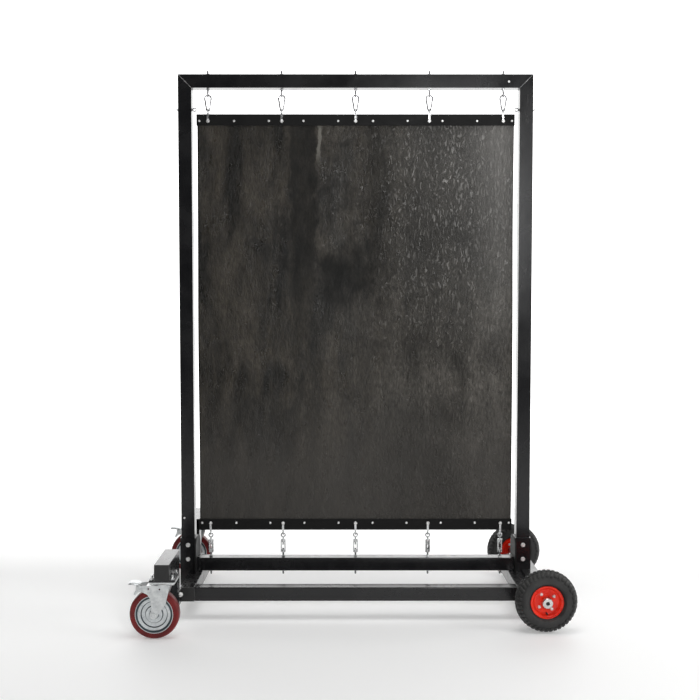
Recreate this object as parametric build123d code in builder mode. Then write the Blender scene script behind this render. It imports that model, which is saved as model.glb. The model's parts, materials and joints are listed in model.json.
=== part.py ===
"""Rolling backdrop stand: a tall tube frame with a sheet stretched between battens, on casters and tyres.

Frame: origin on the floor under the middle of the frame, +X to the right along the sheet, -Y to the front,
+Z up.  All sizes are in millimetres.
"""
from math import asin, cos, radians, sin
import os

from build123d import *

os.makedirs("parts", exist_ok=True)

# --- driving dimensions ---------------------------------------------------------------------------
TUBE = 60.0
WALL = 3.0
FRAME_HALF = 790.0
FRAME_TOP = 2380.0
BASE_HALF = 756.0
BASE_DEPTH = 290.0
BASE_LOW = 84.0
BASE_TOP = BASE_LOW + TUBE

SOCKET = 70.0
SOCKET_TOP = 300.0
SOCKET_FIT = 0.3
SOCKET_BOLT_Z = (268.0, 203.0)
SIDE_EYE_Z = 2228.0

RAIL_HALF = 707.0
RAIL_LOW = 148.0
RAIL_TOP = RAIL_LOW + TUBE

HANGER_X = (-660.0, -330.0, 0.0, 330.0, 660.0)
RIVET_HALF = 699.0
RIVET_COUNT = 10

SHEET_HALF = 712.0
SHEET = 3.0
BATTEN = 5.0
BATTEN_HIGH = 50.0
TOP_BATTEN_TOP = 2208.0
BOTTOM_BATTEN_LOW = 331.0

EYE_R = 9.0
EYE_WIRE = 3.0
ROD_R = 4.0

CASTER_X = -786.0
CASTER_Y = 516.0
CASTER_R = 101.5
CASTER_WIDE = 50.0
CASTER_TRAIL = 38.0
CASTER_HIGH = 242.0
ARM_LOW = 250.0
ARM_TOP = 314.0

TYRE_R = 130.0
TYRE_WIDE = 84.0
TYRE_X = 791.0
TYRE_Y = 441.0
RIM_R = 67.0
AXLE_R = 8.0
RUNNING = 0.05
HOUSING_WIDE = 70.0
HOUSING_HIGH = 50.0
HOUSING_TOP = TYRE_R + HOUSING_HIGH / 2
PLUG_DEEP = 20.0


def save(piece, name):
    """Label a finished piece and write it as its own STEP file."""
    piece.label = name
    export_step(piece, f"parts/{name}.step")


def save_group(pieces, name):
    """Write pieces that belong together as separate solids in one file."""
    save(Compound([solid for piece in pieces for solid in piece.solids()]), name)


# --- goalpost frame -------------------------------------------------------------------------------
def mitred_upright(side, name):
    """One upright, mitred at 45 degrees under the beam, drilled for its socket bolts and side eye."""
    outer, inner, low = side * FRAME_HALF, side * (FRAME_HALF - TUBE), HOUSING_TOP
    skin_out, skin_in = side * (FRAME_HALF - WALL), side * (FRAME_HALF - TUBE + WALL)
    with BuildPart() as upright:
        with BuildSketch(Plane.XZ):
            Polygon((outer, low), (outer, FRAME_TOP), (inner, FRAME_TOP - TUBE), (inner, low), align=None)
        extrude(amount=TUBE / 2, both=True)
        with BuildSketch(Plane.XZ):
            Polygon((skin_out, low), (skin_out, FRAME_TOP - WALL), (skin_in, FRAME_TOP - TUBE + WALL),
                    (skin_in, low), align=None)
        extrude(amount=TUBE / 2 - WALL, both=True, mode=Mode.SUBTRACT)
        middle = side * (FRAME_HALF - TUBE / 2)
        with Locations(*[Location((middle, -TUBE / 2 + WALL / 2, z), (90, 0, 0)) for z in SOCKET_BOLT_Z]):
            Cylinder(ROD_R + 1, WALL * 2, mode=Mode.SUBTRACT)
        with Locations(Location((middle, 0, SIDE_EYE_Z), (0, 90, 0))):
            Cylinder(ROD_R, TUBE + 2, mode=Mode.SUBTRACT)
    save(upright.part, name)


mitred_upright(-1, "left_upright")
mitred_upright(1, "right_upright")

with BuildPart() as top_beam:
    with BuildSketch(Plane.XZ):
        Polygon((-FRAME_HALF, FRAME_TOP), (FRAME_HALF, FRAME_TOP), (FRAME_HALF - TUBE, FRAME_TOP - TUBE),
                (TUBE - FRAME_HALF, FRAME_TOP - TUBE), align=None)
    extrude(amount=TUBE / 2, both=True)
    with BuildSketch(Plane.XZ):
        Polygon((WALL - FRAME_HALF, FRAME_TOP - WALL), (FRAME_HALF - WALL, FRAME_TOP - WALL),
                (FRAME_HALF - TUBE + WALL, FRAME_TOP - TUBE + WALL),
                (TUBE - WALL - FRAME_HALF, FRAME_TOP - TUBE + WALL), align=None)
    extrude(amount=TUBE / 2 - WALL, both=True, mode=Mode.SUBTRACT)
    with Locations(*[(x, 0, FRAME_TOP - TUBE / 2) for x in HANGER_X]):
        Cylinder(ROD_R, TUBE + 2, mode=Mode.SUBTRACT)
save(top_beam.part, "top_beam")


# --- sockets that hold the uprights' feet ---------------------------------------------------------
def socket(side, low, notch_top, name):
    """A square sleeve standing on the cross member, cut away where the tube below it passes."""
    middle = side * (FRAME_HALF - TUBE / 2)
    inner_face = side * (FRAME_HALF - TUBE / 2 - SOCKET / 2)
    with BuildPart() as sleeve:
        with BuildSketch(Plane.XY.offset(low)):
            with Locations((middle, 0)):
                Rectangle(SOCKET, SOCKET)
        extrude(amount=SOCKET_TOP - low)
        with BuildSketch(Plane.XY.offset(low)):
            with Locations((middle, 0)):
                Rectangle(TUBE + 2 * SOCKET_FIT, TUBE + 2 * SOCKET_FIT)
        extrude(amount=SOCKET_TOP - low, mode=Mode.SUBTRACT)
        cut_from, cut_to = sorted((inner_face - side * 1, side * BASE_HALF))
        if low < BASE_TOP:
            with Locations(((cut_from + cut_to) / 2, 0, low)):
                Box(cut_to - cut_from, SOCKET + 2, 2 * (BASE_TOP - low), mode=Mode.SUBTRACT)
        if notch_top > BASE_TOP:
            with Locations((side * (BASE_HALF + SOCKET / 2), 0, notch_top - SOCKET / 2)):
                Box(SOCKET, SOCKET + 2, SOCKET, mode=Mode.SUBTRACT)
        with Locations(*[Location((middle, -SOCKET / 2 + 2, z), (90, 0, 0)) for z in SOCKET_BOLT_Z]):
            Cylinder(ROD_R + 1, 9, mode=Mode.SUBTRACT)
    save(sleeve.part, name)


socket(-1, BASE_LOW, BASE_TOP, "left_socket")
socket(1, BASE_TOP, HOUSING_TOP, "right_socket")

PLATE = 6.0
PLATE_HALF = 73.0
PLATE_OUT = FRAME_HALF - TUBE / 2 - SOCKET / 2
PLATE_CORNER = 25.0
with BuildPart() as side_plates:
    with Locations(*[(s * (PLATE_OUT - PLATE / 2), 0, (BASE_TOP + SOCKET_TOP) / 2) for s in (-1, 1)]):
        Box(PLATE, 2 * PLATE_HALF, SOCKET_TOP - BASE_TOP)
    top_corners = side_plates.edges().filter_by(Axis.X).group_by(Axis.Z)[-1]
    chamfer(top_corners, PLATE_CORNER)
save(side_plates.part, "side_plates")


# --- base rectangle and the rail under the sheet --------------------------------------------------
def x_tube(half, y, low, name, holes=()):
    """A square tube along X, optionally drilled up through for the tension rods."""
    with BuildPart() as tube:
        with BuildSketch(Plane.YZ.offset(-half)):
            with Locations((y, low + TUBE / 2)):
                RectangleRounded(TUBE, TUBE, 4)
                RectangleRounded(TUBE - 2 * WALL, TUBE - 2 * WALL, 1.5, mode=Mode.SUBTRACT)
        extrude(amount=2 * half)
        if holes:
            with Locations(*[(x, y, low + TUBE / 2) for x in holes]):
                Cylinder(ROD_R, TUBE + 2, mode=Mode.SUBTRACT)
    save(tube.part, name)


x_tube(BASE_HALF - TUBE, -BASE_DEPTH + TUBE / 2, BASE_LOW, "front_rail")
x_tube(BASE_HALF - TUBE, BASE_DEPTH - TUBE / 2, BASE_LOW, "rear_rail")
x_tube(RAIL_HALF, 0, RAIL_LOW, "mid_rail", HANGER_X)


def cross_member(side, name):
    """A square tube along Y that closes the end of the base."""
    with BuildPart() as tube:
        with BuildSketch(Plane.XZ.offset(-BASE_DEPTH)):
            with Locations((side * (BASE_HALF - TUBE / 2), BASE_LOW + TUBE / 2)):
                Rectangle(TUBE, TUBE)
                Rectangle(TUBE - 2 * WALL, TUBE - 2 * WALL, mode=Mode.SUBTRACT)
        extrude(amount=2 * BASE_DEPTH)
    save(tube.part, name)


cross_member(-1, "left_cross_member")
cross_member(1, "right_cross_member")

END_PLATE = PLATE_OUT - PLATE - RAIL_HALF
with BuildPart() as rail_end_plates:
    with Locations(*[(s * (RAIL_HALF + END_PLATE / 2), 0, (BASE_TOP + RAIL_TOP) / 2 + 3) for s in (-1, 1)]):
        Box(END_PLATE, SOCKET, RAIL_TOP - BASE_TOP + 6)

SADDLE = 11.0
with BuildPart() as rail_saddles:
    with Locations(*[(s * (RAIL_HALF - SADDLE / 2), 0, (BASE_TOP + RAIL_LOW) / 2) for s in (-1, 1)]):
        Box(SADDLE, TUBE, RAIL_LOW - BASE_TOP)
save_group([rail_end_plates.part, rail_saddles.part], "rail_brackets")

# --- axle and its housing on the right ------------------------------------------------------------
HOUSING_HALF = TYRE_Y - TYRE_WIDE / 2 - 12.0
AXLE_HALF = TYRE_Y + 42.0
with BuildPart() as axle_housing:
    with BuildSketch(Plane.XZ.offset(-HOUSING_HALF)):
        with Locations((TYRE_X, TYRE_R)):
            Rectangle(HOUSING_WIDE, HOUSING_HIGH)
            Rectangle(HOUSING_WIDE - 2 * WALL, HOUSING_HIGH - 2 * WALL, mode=Mode.SUBTRACT)
    extrude(amount=2 * HOUSING_HALF)
save(axle_housing.part, "axle_housing")

with BuildPart() as housing_plugs:
    with BuildSketch(Plane.XZ.offset(HOUSING_HALF - PLUG_DEEP)):
        with Locations((TYRE_X, TYRE_R)):
            Rectangle(HOUSING_WIDE - 2 * WALL, HOUSING_HIGH - 2 * WALL)
            Circle(AXLE_R, mode=Mode.SUBTRACT)
    extrude(amount=PLUG_DEEP)
    mirror(about=Plane.XZ)

with BuildPart() as wheel_axle:
    with BuildSketch(Plane.XZ.offset(-AXLE_HALF)):
        with Locations((TYRE_X, TYRE_R)):
            Circle(AXLE_R)
    extrude(amount=2 * AXLE_HALF)
    chamfer(wheel_axle.edges().filter_by(GeomType.CIRCLE), 1)
save(wheel_axle.part, "wheel_axle")


# --- caster outriggers on the left ----------------------------------------------------------------
ARM_WALL = 3.0
CAP = 4.0
ARM_OVERHANG = 54.0
POST_Y = (306.0, 366.0)
LUG = 6.0
OUTRIGGER_BOLT_Z = BASE_LOW + 42.0


def outrigger(side, name):
    """A raised arm along Y for one caster, on a post that bolts to a lug at the corner of the base."""
    far, near = CASTER_Y + ARM_OVERHANG, POST_Y[0]
    with BuildPart() as arm:
        with Locations((CASTER_X, side * (far + near) / 2, (ARM_LOW + ARM_TOP) / 2)):
            Box(TUBE, far - near, ARM_TOP - ARM_LOW)
            Box(TUBE - 2 * ARM_WALL, far - near + 2, ARM_TOP - ARM_LOW - 2 * ARM_WALL, mode=Mode.SUBTRACT)
    with BuildPart() as post:
        with Locations((CASTER_X, side * sum(POST_Y) / 2, (BASE_LOW + ARM_LOW) / 2)):
            Box(TUBE, POST_Y[1] - POST_Y[0], ARM_LOW - BASE_LOW)
            Box(TUBE - 2 * ARM_WALL, TUBE - 2 * ARM_WALL, ARM_LOW - BASE_LOW + 2, mode=Mode.SUBTRACT)
        with Locations(Location((CASTER_X, side * sum(POST_Y) / 2, OUTRIGGER_BOLT_Z), (0, 90, 0))):
            Cylinder(ROD_R + 1, TUBE + 2, mode=Mode.SUBTRACT)
    lug_from, lug_to = BASE_DEPTH + CAP, POST_Y[1]
    with BuildPart() as lug:
        with Locations((CASTER_X + (TUBE + LUG) / 2, side * (lug_from + lug_to) / 2, BASE_LOW + TUBE / 2)):
            Box(LUG, lug_to - lug_from, TUBE)
        with Locations(Location((CASTER_X, side * sum(POST_Y) / 2, OUTRIGGER_BOLT_Z), (0, 90, 0))):
            Cylinder(ROD_R + 1, 2 * TUBE, mode=Mode.SUBTRACT)
    save_group([arm.part, post.part, lug.part], name)


outrigger(-1, "front_outrigger")
outrigger(1, "rear_outrigger")

PLATE_X, PLATE_Y = 106.0, 114.0
PLATE_PITCH_X, PLATE_PITCH_Y = 84.0, 88.0
TOP_PLATE = 6.0
CASTER_SPOTS = [(CASTER_X, -CASTER_Y), (CASTER_X, CASTER_Y)]


def plates(low, high, bore, name):
    """Two drilled square plates, one over each caster."""
    with BuildPart() as pair:
        with BuildSketch(Plane.XY.offset(low)):
            with Locations(*CASTER_SPOTS):
                RectangleRounded(PLATE_X, PLATE_Y, 8)
                if bore:
                    Circle(bore, mode=Mode.SUBTRACT)
            for spot in CASTER_SPOTS:
                with Locations(spot):
                    with GridLocations(PLATE_PITCH_X, PLATE_PITCH_Y, 2, 2):
                        Circle(ROD_R + 1, mode=Mode.SUBTRACT)
        extrude(amount=high - low)
    save(pair.part, name)


KING_R = 7.0
plates(CASTER_HIGH, ARM_LOW, 0, "adapter_plates")
plates(CASTER_HIGH - TOP_PLATE, CASTER_HIGH, KING_R, "caster_top_plates")

PLATE_BOLT_R = ROD_R + 1
PLATE_BOLT_LONG = 34.0
PLATE_HEAD_R, PLATE_HEAD_HIGH = 8.0, 6.0
PLATE_NUT_R, PLATE_NUT_HIGH = 8.5, 9.0
with BuildPart() as caster_plate_bolts:
    for spot in CASTER_SPOTS:
        with BuildSketch(Plane.XY.offset(CASTER_HIGH - TOP_PLATE)):
            with Locations(spot):
                with GridLocations(PLATE_PITCH_X, PLATE_PITCH_Y, 2, 2):
                    Circle(PLATE_BOLT_R)
        extrude(amount=PLATE_BOLT_LONG)
        with BuildSketch(Plane.XY.offset(CASTER_HIGH - TOP_PLATE)):
            with Locations(spot):
                with GridLocations(PLATE_PITCH_X, PLATE_PITCH_Y, 2, 2):
                    RegularPolygon(PLATE_HEAD_R, 6)
        extrude(amount=-PLATE_HEAD_HIGH)
save(caster_plate_bolts.part, "caster_plate_bolts")

with BuildPart() as caster_plate_nuts:
    for spot in CASTER_SPOTS:
        with BuildSketch(Plane.XY.offset(ARM_LOW)):
            with Locations(spot):
                with GridLocations(PLATE_PITCH_X, PLATE_PITCH_Y, 2, 2):
                    RegularPolygon(PLATE_NUT_R, 6)
                    Circle(PLATE_BOLT_R, mode=Mode.SUBTRACT)
        extrude(amount=PLATE_NUT_HIGH)
save(caster_plate_nuts.part, "caster_plate_nuts")

FORK_TOP = CASTER_HIGH - TOP_PLATE - 8.0
RACE_GAP = 0.3
RACE_R = 33.0
with BuildPart() as swivel_races:
    with BuildSketch(Plane.XY.offset(FORK_TOP + RACE_GAP)):
        with Locations(*CASTER_SPOTS):
            Circle(RACE_R)
            Circle(KING_R + 2, mode=Mode.SUBTRACT)
    extrude(amount=CASTER_HIGH - TOP_PLATE - FORK_TOP - RACE_GAP)
save(swivel_races.part, "swivel_races")

# --- caps in the open tube ends -------------------------------------------------------------------
with BuildPart() as tube_caps:
    arm_end, arm_middle = CASTER_Y + ARM_OVERHANG + CAP / 2, (ARM_LOW + ARM_TOP) / 2
    with Locations((CASTER_X, -arm_end, arm_middle), (CASTER_X, arm_end, arm_middle)):
        Box(TUBE, CAP, ARM_TOP - ARM_LOW)
    ends = [(t * (BASE_HALF - TUBE / 2), s * (BASE_DEPTH + CAP / 2), BASE_LOW + TUBE / 2)
            for t in (-1, 1) for s in (-1, 1)]
    with Locations(*ends):
        Box(TUBE, CAP, TUBE)
save_group([tube_caps.part, housing_plugs.part], "tube_caps")


# --- fasteners of the frame -----------------------------------------------------------------------
STANDING = (Align.CENTER, Align.CENTER, Align.MIN)
HANGING = (Align.CENTER, Align.CENTER, Align.MAX)
TO_FRONT = (90, 0, 0)
SOCKET_HEAD_R, SOCKET_HEAD_HIGH, SOCKET_SHANK = 8.5, 7.0, 14.0
SOCKET_WASHER_R, WASHER_THICK = 9.8, 1.6
with BuildPart() as socket_bolts:
    for side in (-1, 1):
        for height in SOCKET_BOLT_Z:
            centre = side * (FRAME_HALF - TUBE / 2)
            with Locations(Location((centre, -SOCKET / 2, height), TO_FRONT)):
                Cylinder(ROD_R + 1, SOCKET_SHANK, align=HANGING)
                Cylinder(SOCKET_WASHER_R, WASHER_THICK, align=STANDING)
                Cylinder(SOCKET_HEAD_R, SOCKET_HEAD_HIGH, align=STANDING)

FRAME_SCREWS = ((681.0, 2347.0), (-776.0, 391.0))
FRAME_SCREW_R, FRAME_SCREW_HIGH = 4.5, 2.5
with BuildPart() as frame_screws:
    for screw_x, screw_z in FRAME_SCREWS:
        with Locations(Location((screw_x, -TUBE / 2, screw_z), TO_FRONT)):
            Cylinder(FRAME_SCREW_R, FRAME_SCREW_HIGH, align=STANDING)

WASHER_R, NUT_R, NUT_THICK, BOLT_PAST_NUT = 11.0, 9.0, 9.0, 3.0
with BuildPart() as outrigger_bolts:
    for side in (-1, 1):
        bolt_y = side * sum(POST_Y) / 2
        with Locations((CASTER_X + LUG / 2, bolt_y, OUTRIGGER_BOLT_Z)):
            Cylinder(ROD_R + 1, TUBE + LUG + 2 * (NUT_THICK + BOLT_PAST_NUT), rotation=(0, 90, 0))
        for face_x, outward in ((CASTER_X - TUBE / 2, -1), (CASTER_X + TUBE / 2 + LUG, 1)):
            with Locations(Location((face_x, bolt_y, OUTRIGGER_BOLT_Z), (0, outward * 90, 0))):
                Cylinder(WASHER_R, 2, align=STANDING)
                Cylinder(NUT_R, NUT_THICK, align=STANDING)
save_group([socket_bolts.part, frame_screws.part, outrigger_bolts.part], "frame_bolts")


# --- eye bolts and nuts ---------------------------------------------------------------------------
def ring(centre, spin):
    """A wire ring; spin turns its axis from Z."""
    with Locations(Location(centre, spin)):
        Torus(EYE_R, EYE_WIRE)


ALONG_X = (0, 90, 0)
TOP_EYE_Z = 2294.0
TIP_Z = 2400.0
with BuildPart() as top_eye_bolts:
    for x in HANGER_X:
        ring((x, 0, TOP_EYE_Z), ALONG_X)
        with Locations((x, 0, TOP_EYE_Z + EYE_R)):
            Cylinder(ROD_R, TIP_Z - TOP_EYE_Z - EYE_R, align=STANDING)
save(top_eye_bolts.part, "top_eye_bolts")

LOWER_ROD_TOP = 246.0
LOWER_ROD_TIP = 128.0
with BuildPart() as tension_rods:
    with Locations(*[(x, 0, LOWER_ROD_TIP) for x in HANGER_X]):
        Cylinder(ROD_R, LOWER_ROD_TOP - LOWER_ROD_TIP, align=STANDING)
save(tension_rods.part, "tension_rods")

NUT_HIGH = 7.0
EYE_NUT_R = 7.5
NUT_LEVELS = (FRAME_TOP - TUBE - NUT_HIGH, FRAME_TOP, RAIL_LOW - NUT_HIGH, RAIL_TOP)
with BuildPart() as eye_bolt_nuts:
    for level in NUT_LEVELS:
        with BuildSketch(Plane.XY.offset(level)):
            with Locations(*[(x, 0) for x in HANGER_X]):
                RegularPolygon(EYE_NUT_R, 6)
                Circle(ROD_R, mode=Mode.SUBTRACT)
        extrude(amount=NUT_HIGH)

SIDE_EYE_R = 5.0
SIDE_EYE_OUT = 9.0
SIDE_EYE_THICK = 6.0
SIDE_EYE_X = FRAME_HALF - TUBE - 10.0
with BuildPart() as side_eye_bolts:
    for side in (-1, 1):
        with BuildSketch(Plane.XZ.offset(-SIDE_EYE_THICK / 2)):
            with Locations((side * SIDE_EYE_X, SIDE_EYE_Z)):
                Circle(SIDE_EYE_OUT)
                Circle(SIDE_EYE_R, mode=Mode.SUBTRACT)
        extrude(amount=SIDE_EYE_THICK)
        start = side * (FRAME_HALF - TUBE - 2)
        with Locations(Location((start, 0, SIDE_EYE_Z), (0, side * 90, 0))):
            Cylinder(ROD_R, TUBE + 14, align=STANDING)
save(side_eye_bolts.part, "side_eye_bolts")

with BuildPart() as side_eye_nuts:
    for side in (-1, 1):
        with BuildSketch(Plane.YZ.offset(side * FRAME_HALF)):
            with Locations((0, SIDE_EYE_Z)):
                RegularPolygon(EYE_NUT_R, 6)
                Circle(ROD_R, mode=Mode.SUBTRACT)
        extrude(amount=side * NUT_HIGH)
save_group([eye_bolt_nuts.part, side_eye_nuts.part], "eye_bolt_nuts")

# --- the sheet and the battens that grip it -------------------------------------------------------
SHEET_LOW = BOTTOM_BATTEN_LOW + 4.0
SHEET_TOP = TOP_BATTEN_TOP - 4.0
BOLT_DROP = 31.0
TOP_BOLT_Z = TOP_BATTEN_TOP - BOLT_DROP
BOTTOM_BOLT_Z = BOTTOM_BATTEN_LOW + BOLT_DROP
TOP_RIVET_Z = 2178.0
BOTTOM_RIVET_Z = 363.0
RIVET_STEP = 2 * RIVET_HALF / (RIVET_COUNT - 1)
RIVETS = [-RIVET_HALF + n * RIVET_STEP for n in range(RIVET_COUNT)]
BOLT_HOLE = 3.0
RIVET_R = 2.4
RIVET_HEAD_LOW_R, RIVET_HEAD_TOP_R, RIVET_HEAD_HIGH = 5.2, 3.2, 2.2
FACE = SHEET / 2 + BATTEN


def drill_strip():
    """Take the batten bolts' and rivets' holes out of the current part."""
    for z, spots, radius in ((TOP_BOLT_Z, HANGER_X, BOLT_HOLE), (BOTTOM_BOLT_Z, HANGER_X, BOLT_HOLE),
                             (TOP_RIVET_Z, RIVETS, RIVET_R), (BOTTOM_RIVET_Z, RIVETS, RIVET_R)):
        with Locations(*[Location((x, 0, z), TO_FRONT) for x in spots]):
            Cylinder(radius, 4 * FACE, mode=Mode.SUBTRACT)


with BuildPart() as backdrop_sheet:
    with Locations((0, 0, (SHEET_LOW + SHEET_TOP) / 2)):
        Box(2 * SHEET_HALF - 2, SHEET, SHEET_TOP - SHEET_LOW)
    drill_strip()
save(backdrop_sheet.part, "backdrop_sheet")


def batten(low, side):
    """One flat bar, on the front (-1) or the back (1) of the sheet."""
    with BuildPart() as bar:
        with Locations((0, side * (SHEET + BATTEN) / 2, low + BATTEN_HIGH / 2)):
            Box(2 * SHEET_HALF, BATTEN, BATTEN_HIGH)
        drill_strip()
    return bar.part


save(batten(TOP_BATTEN_TOP - BATTEN_HIGH, -1), "top_front_batten")
save(batten(BOTTOM_BATTEN_LOW, -1), "bottom_front_batten")
save_group([batten(TOP_BATTEN_TOP - BATTEN_HIGH, 1), batten(BOTTOM_BATTEN_LOW, 1)], "rear_battens")

with BuildPart() as batten_rivets:
    for z in (TOP_RIVET_Z, BOTTOM_RIVET_Z):
        for x in RIVETS:
            with Locations(Location((x, 0, z), TO_FRONT)):
                Cylinder(RIVET_R, 2 * FACE)
            for turn in (90, -90):
                face_y = -FACE if turn == 90 else FACE
                with Locations(Location((x, face_y, z), (turn, 0, 0))):
                    Cone(RIVET_HEAD_LOW_R, RIVET_HEAD_TOP_R, RIVET_HEAD_HIGH, align=STANDING)
save(batten_rivets.part, "batten_rivets")

STRAP = 3.0
STRAP_HALF = 4.6
LINK_GAP = 0.3
HOOK_WIRE = 3.3
HOOK_TOP = TOP_EYE_Z - EYE_R + EYE_WIRE + HOOK_WIRE + LINK_GAP
HOOK_LOW = 2222.9
TOP_LINK_Z = HOOK_LOW + HOOK_WIRE + EYE_WIRE + LINK_GAP - EYE_R
LOW_LINK_Z = BOTTOM_BATTEN_LOW - (TOP_LINK_Z - TOP_BATTEN_TOP)


def strap(edge, link_z, bolt_z):
    """A bent strap bolted to the front batten, ending in a ring past the batten's edge."""
    out = 1 if link_z > bolt_z else -1
    for x in HANGER_X:
        ring((x, 0, link_z), ALONG_X)
        low, high = sorted((bolt_z - out * 6, edge + out * 4))
        with Locations((x, -FACE - STRAP / 2, (low + high) / 2)):
            Box(2 * STRAP_HALF, STRAP, high - low)
        with Locations((x, -(FACE + STRAP) / 2, edge + out * 2.2)):
            Box(2 * STRAP_HALF - 3, FACE + STRAP, 3.6)
    with Locations(*[Location((x, 0, bolt_z), TO_FRONT) for x in HANGER_X]):
        Cylinder(BOLT_HOLE, 40, mode=Mode.SUBTRACT)


with BuildPart() as batten_hangers:
    strap(TOP_BATTEN_TOP, TOP_LINK_Z, TOP_BOLT_Z)

with BuildPart() as batten_pulls:
    strap(BOTTOM_BATTEN_LOW, LOW_LINK_Z, BOTTOM_BOLT_Z)
save_group([batten_hangers.part, batten_pulls.part], "batten_straps")

BATTEN_HEAD_LOW_R, BATTEN_HEAD_TOP_R, BATTEN_HEAD_HIGH = 8.0, 5.0, 4.5
BATTEN_NUT_R, BATTEN_NUT_HIGH = 6.0, 5.0
with BuildPart() as batten_bolts:
    for z in (TOP_BOLT_Z, BOTTOM_BOLT_Z):
        for x in HANGER_X:
            with Locations(Location((x, -FACE - STRAP, z), TO_FRONT)):
                Cylinder(BOLT_HOLE, 2 * FACE + STRAP + 8, align=HANGING)
                Cone(BATTEN_HEAD_LOW_R, BATTEN_HEAD_TOP_R, BATTEN_HEAD_HIGH, align=STANDING)
            with Locations(Location((x, FACE, z), (-90, 0, 0))):
                Cylinder(BATTEN_NUT_R, BATTEN_NUT_HIGH, align=STANDING)
save(batten_bolts.part, "batten_bolts")

# --- pear-shaped spring hooks ---------------------------------------------------------------------
WIDE_R = 14.2
NARROW_R = 6.5
WIDE_Z = HOOK_TOP - WIDE_R
NARROW_Z = HOOK_LOW + NARROW_R
LEAN = asin((WIDE_R - NARROW_R) / (WIDE_Z - NARROW_Z))
NORMAL = (cos(LEAN), -sin(LEAN))
GATE_FROM, GATE_TO = 0.16, 0.8
GATE_FOOT_GAP, GATE_HEAD_GAP = 0.036, 0.012


def flank(x, share, side=1):
    """A point on one flank of the pear, from its narrow end at 0 to its wide end at 1."""
    low = (NARROW_R * NORMAL[0], NARROW_Z + NARROW_R * NORMAL[1])
    high = (WIDE_R * NORMAL[0], WIDE_Z + WIDE_R * NORMAL[1])
    return (x + side * (low[0] + share * (high[0] - low[0])), 0, low[1] + share * (high[1] - low[1]))


with BuildPart() as carabiner_hooks:
    for x in HANGER_X:
        with BuildLine() as wire:
            Line(flank(x, GATE_TO), flank(x, 1))
            ThreePointArc(flank(x, 1), (x, 0, HOOK_TOP), flank(x, 1, -1))
            Line(flank(x, 1, -1), flank(x, 0, -1))
            ThreePointArc(flank(x, 0, -1), (x, 0, HOOK_LOW), flank(x, 0))
            Line(flank(x, 0), flank(x, GATE_FROM))
        start_plane = Plane(origin=flank(x, GATE_TO), z_dir=wire.line % 0)
        with BuildSketch(start_plane):
            Circle(HOOK_WIRE)
        sweep(path=wire.line)
save(carabiner_hooks.part, "carabiner_hooks")
print("gate pivot from its hook's middle", flank(0, GATE_FROM + GATE_FOOT_GAP))


def gate(x, name):
    """The sprung gate that closes one hook's right flank."""
    foot = Vector(*flank(x, GATE_FROM + GATE_FOOT_GAP))
    head = Vector(*flank(x, GATE_TO - GATE_HEAD_GAP))
    with BuildPart() as lever:
        with BuildSketch(Plane(origin=foot, z_dir=head - foot)):
            Circle(HOOK_WIRE - 0.4)
        extrude(amount=(head - foot).length)
    save(lever.part, name)


for number, x in enumerate(HANGER_X, 1):
    gate(x, f"carabiner_gate_{number}")

# --- turnbuckles ----------------------------------------------------------------------------------
SCREW_R = 3.5
SCREW_EYE_Z = LOW_LINK_Z - EYE_R + 2 * EYE_WIRE + LINK_GAP - EYE_R
BODY_LOW, BODY_TOP = 228.0, 288.0
BOSS_R, BOSS_HIGH = 8.0, 13.0
BAR_OUT, BAR_WIDE, BAR_DEEP = 11.0, 4.5, 9.0
SCREW_TIP = 262.0
BODY_TURNS = (28.0, -12.0, 8.0, 40.0, -20.0)
ALONG_Y = (90, 0, 0)

with BuildPart() as screw_eyes:
    for x in HANGER_X:
        ring((x, 0, SCREW_EYE_Z), ALONG_Y)
        with Locations((x, 0, SCREW_TIP)):
            Cylinder(SCREW_R, SCREW_EYE_Z - EYE_R - SCREW_TIP, align=STANDING)
save(screw_eyes.part, "screw_eyes")


def turnbuckle(x, turn, name):
    """An open body of two bars between two threaded bosses."""
    with BuildPart() as body:
        with BuildSketch(Plane(origin=(x, 0, BODY_LOW), x_dir=(cos(radians(turn)), sin(radians(turn)), 0))):
            RectangleRounded(2 * BAR_OUT, BAR_DEEP, 2)
            Circle(BOSS_R)
        extrude(amount=BODY_TOP - BODY_LOW)
        window = Plane(origin=(x, 0, BODY_LOW + BOSS_HIGH), x_dir=(cos(radians(turn)), sin(radians(turn)), 0))
        with BuildSketch(window):
            Rectangle(2 * (BAR_OUT - BAR_WIDE), 3 * BOSS_R)
        extrude(amount=BODY_TOP - BODY_LOW - 2 * BOSS_HIGH, mode=Mode.SUBTRACT)
        with BuildSketch(Plane.XY.offset(BODY_LOW)):
            with Locations((x, 0)):
                Circle(ROD_R + RUNNING)
        extrude(amount=BOSS_HIGH, mode=Mode.SUBTRACT)
        with BuildSketch(Plane.XY.offset(BODY_TOP - BOSS_HIGH)):
            with Locations((x, 0)):
                Circle(SCREW_R + RUNNING)
        extrude(amount=BOSS_HIGH, mode=Mode.SUBTRACT)
    save(body.part, name)


for number, (x, turn) in enumerate(zip(HANGER_X, BODY_TURNS), 1):
    turnbuckle(x, turn, f"turnbuckle_{number}")

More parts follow.
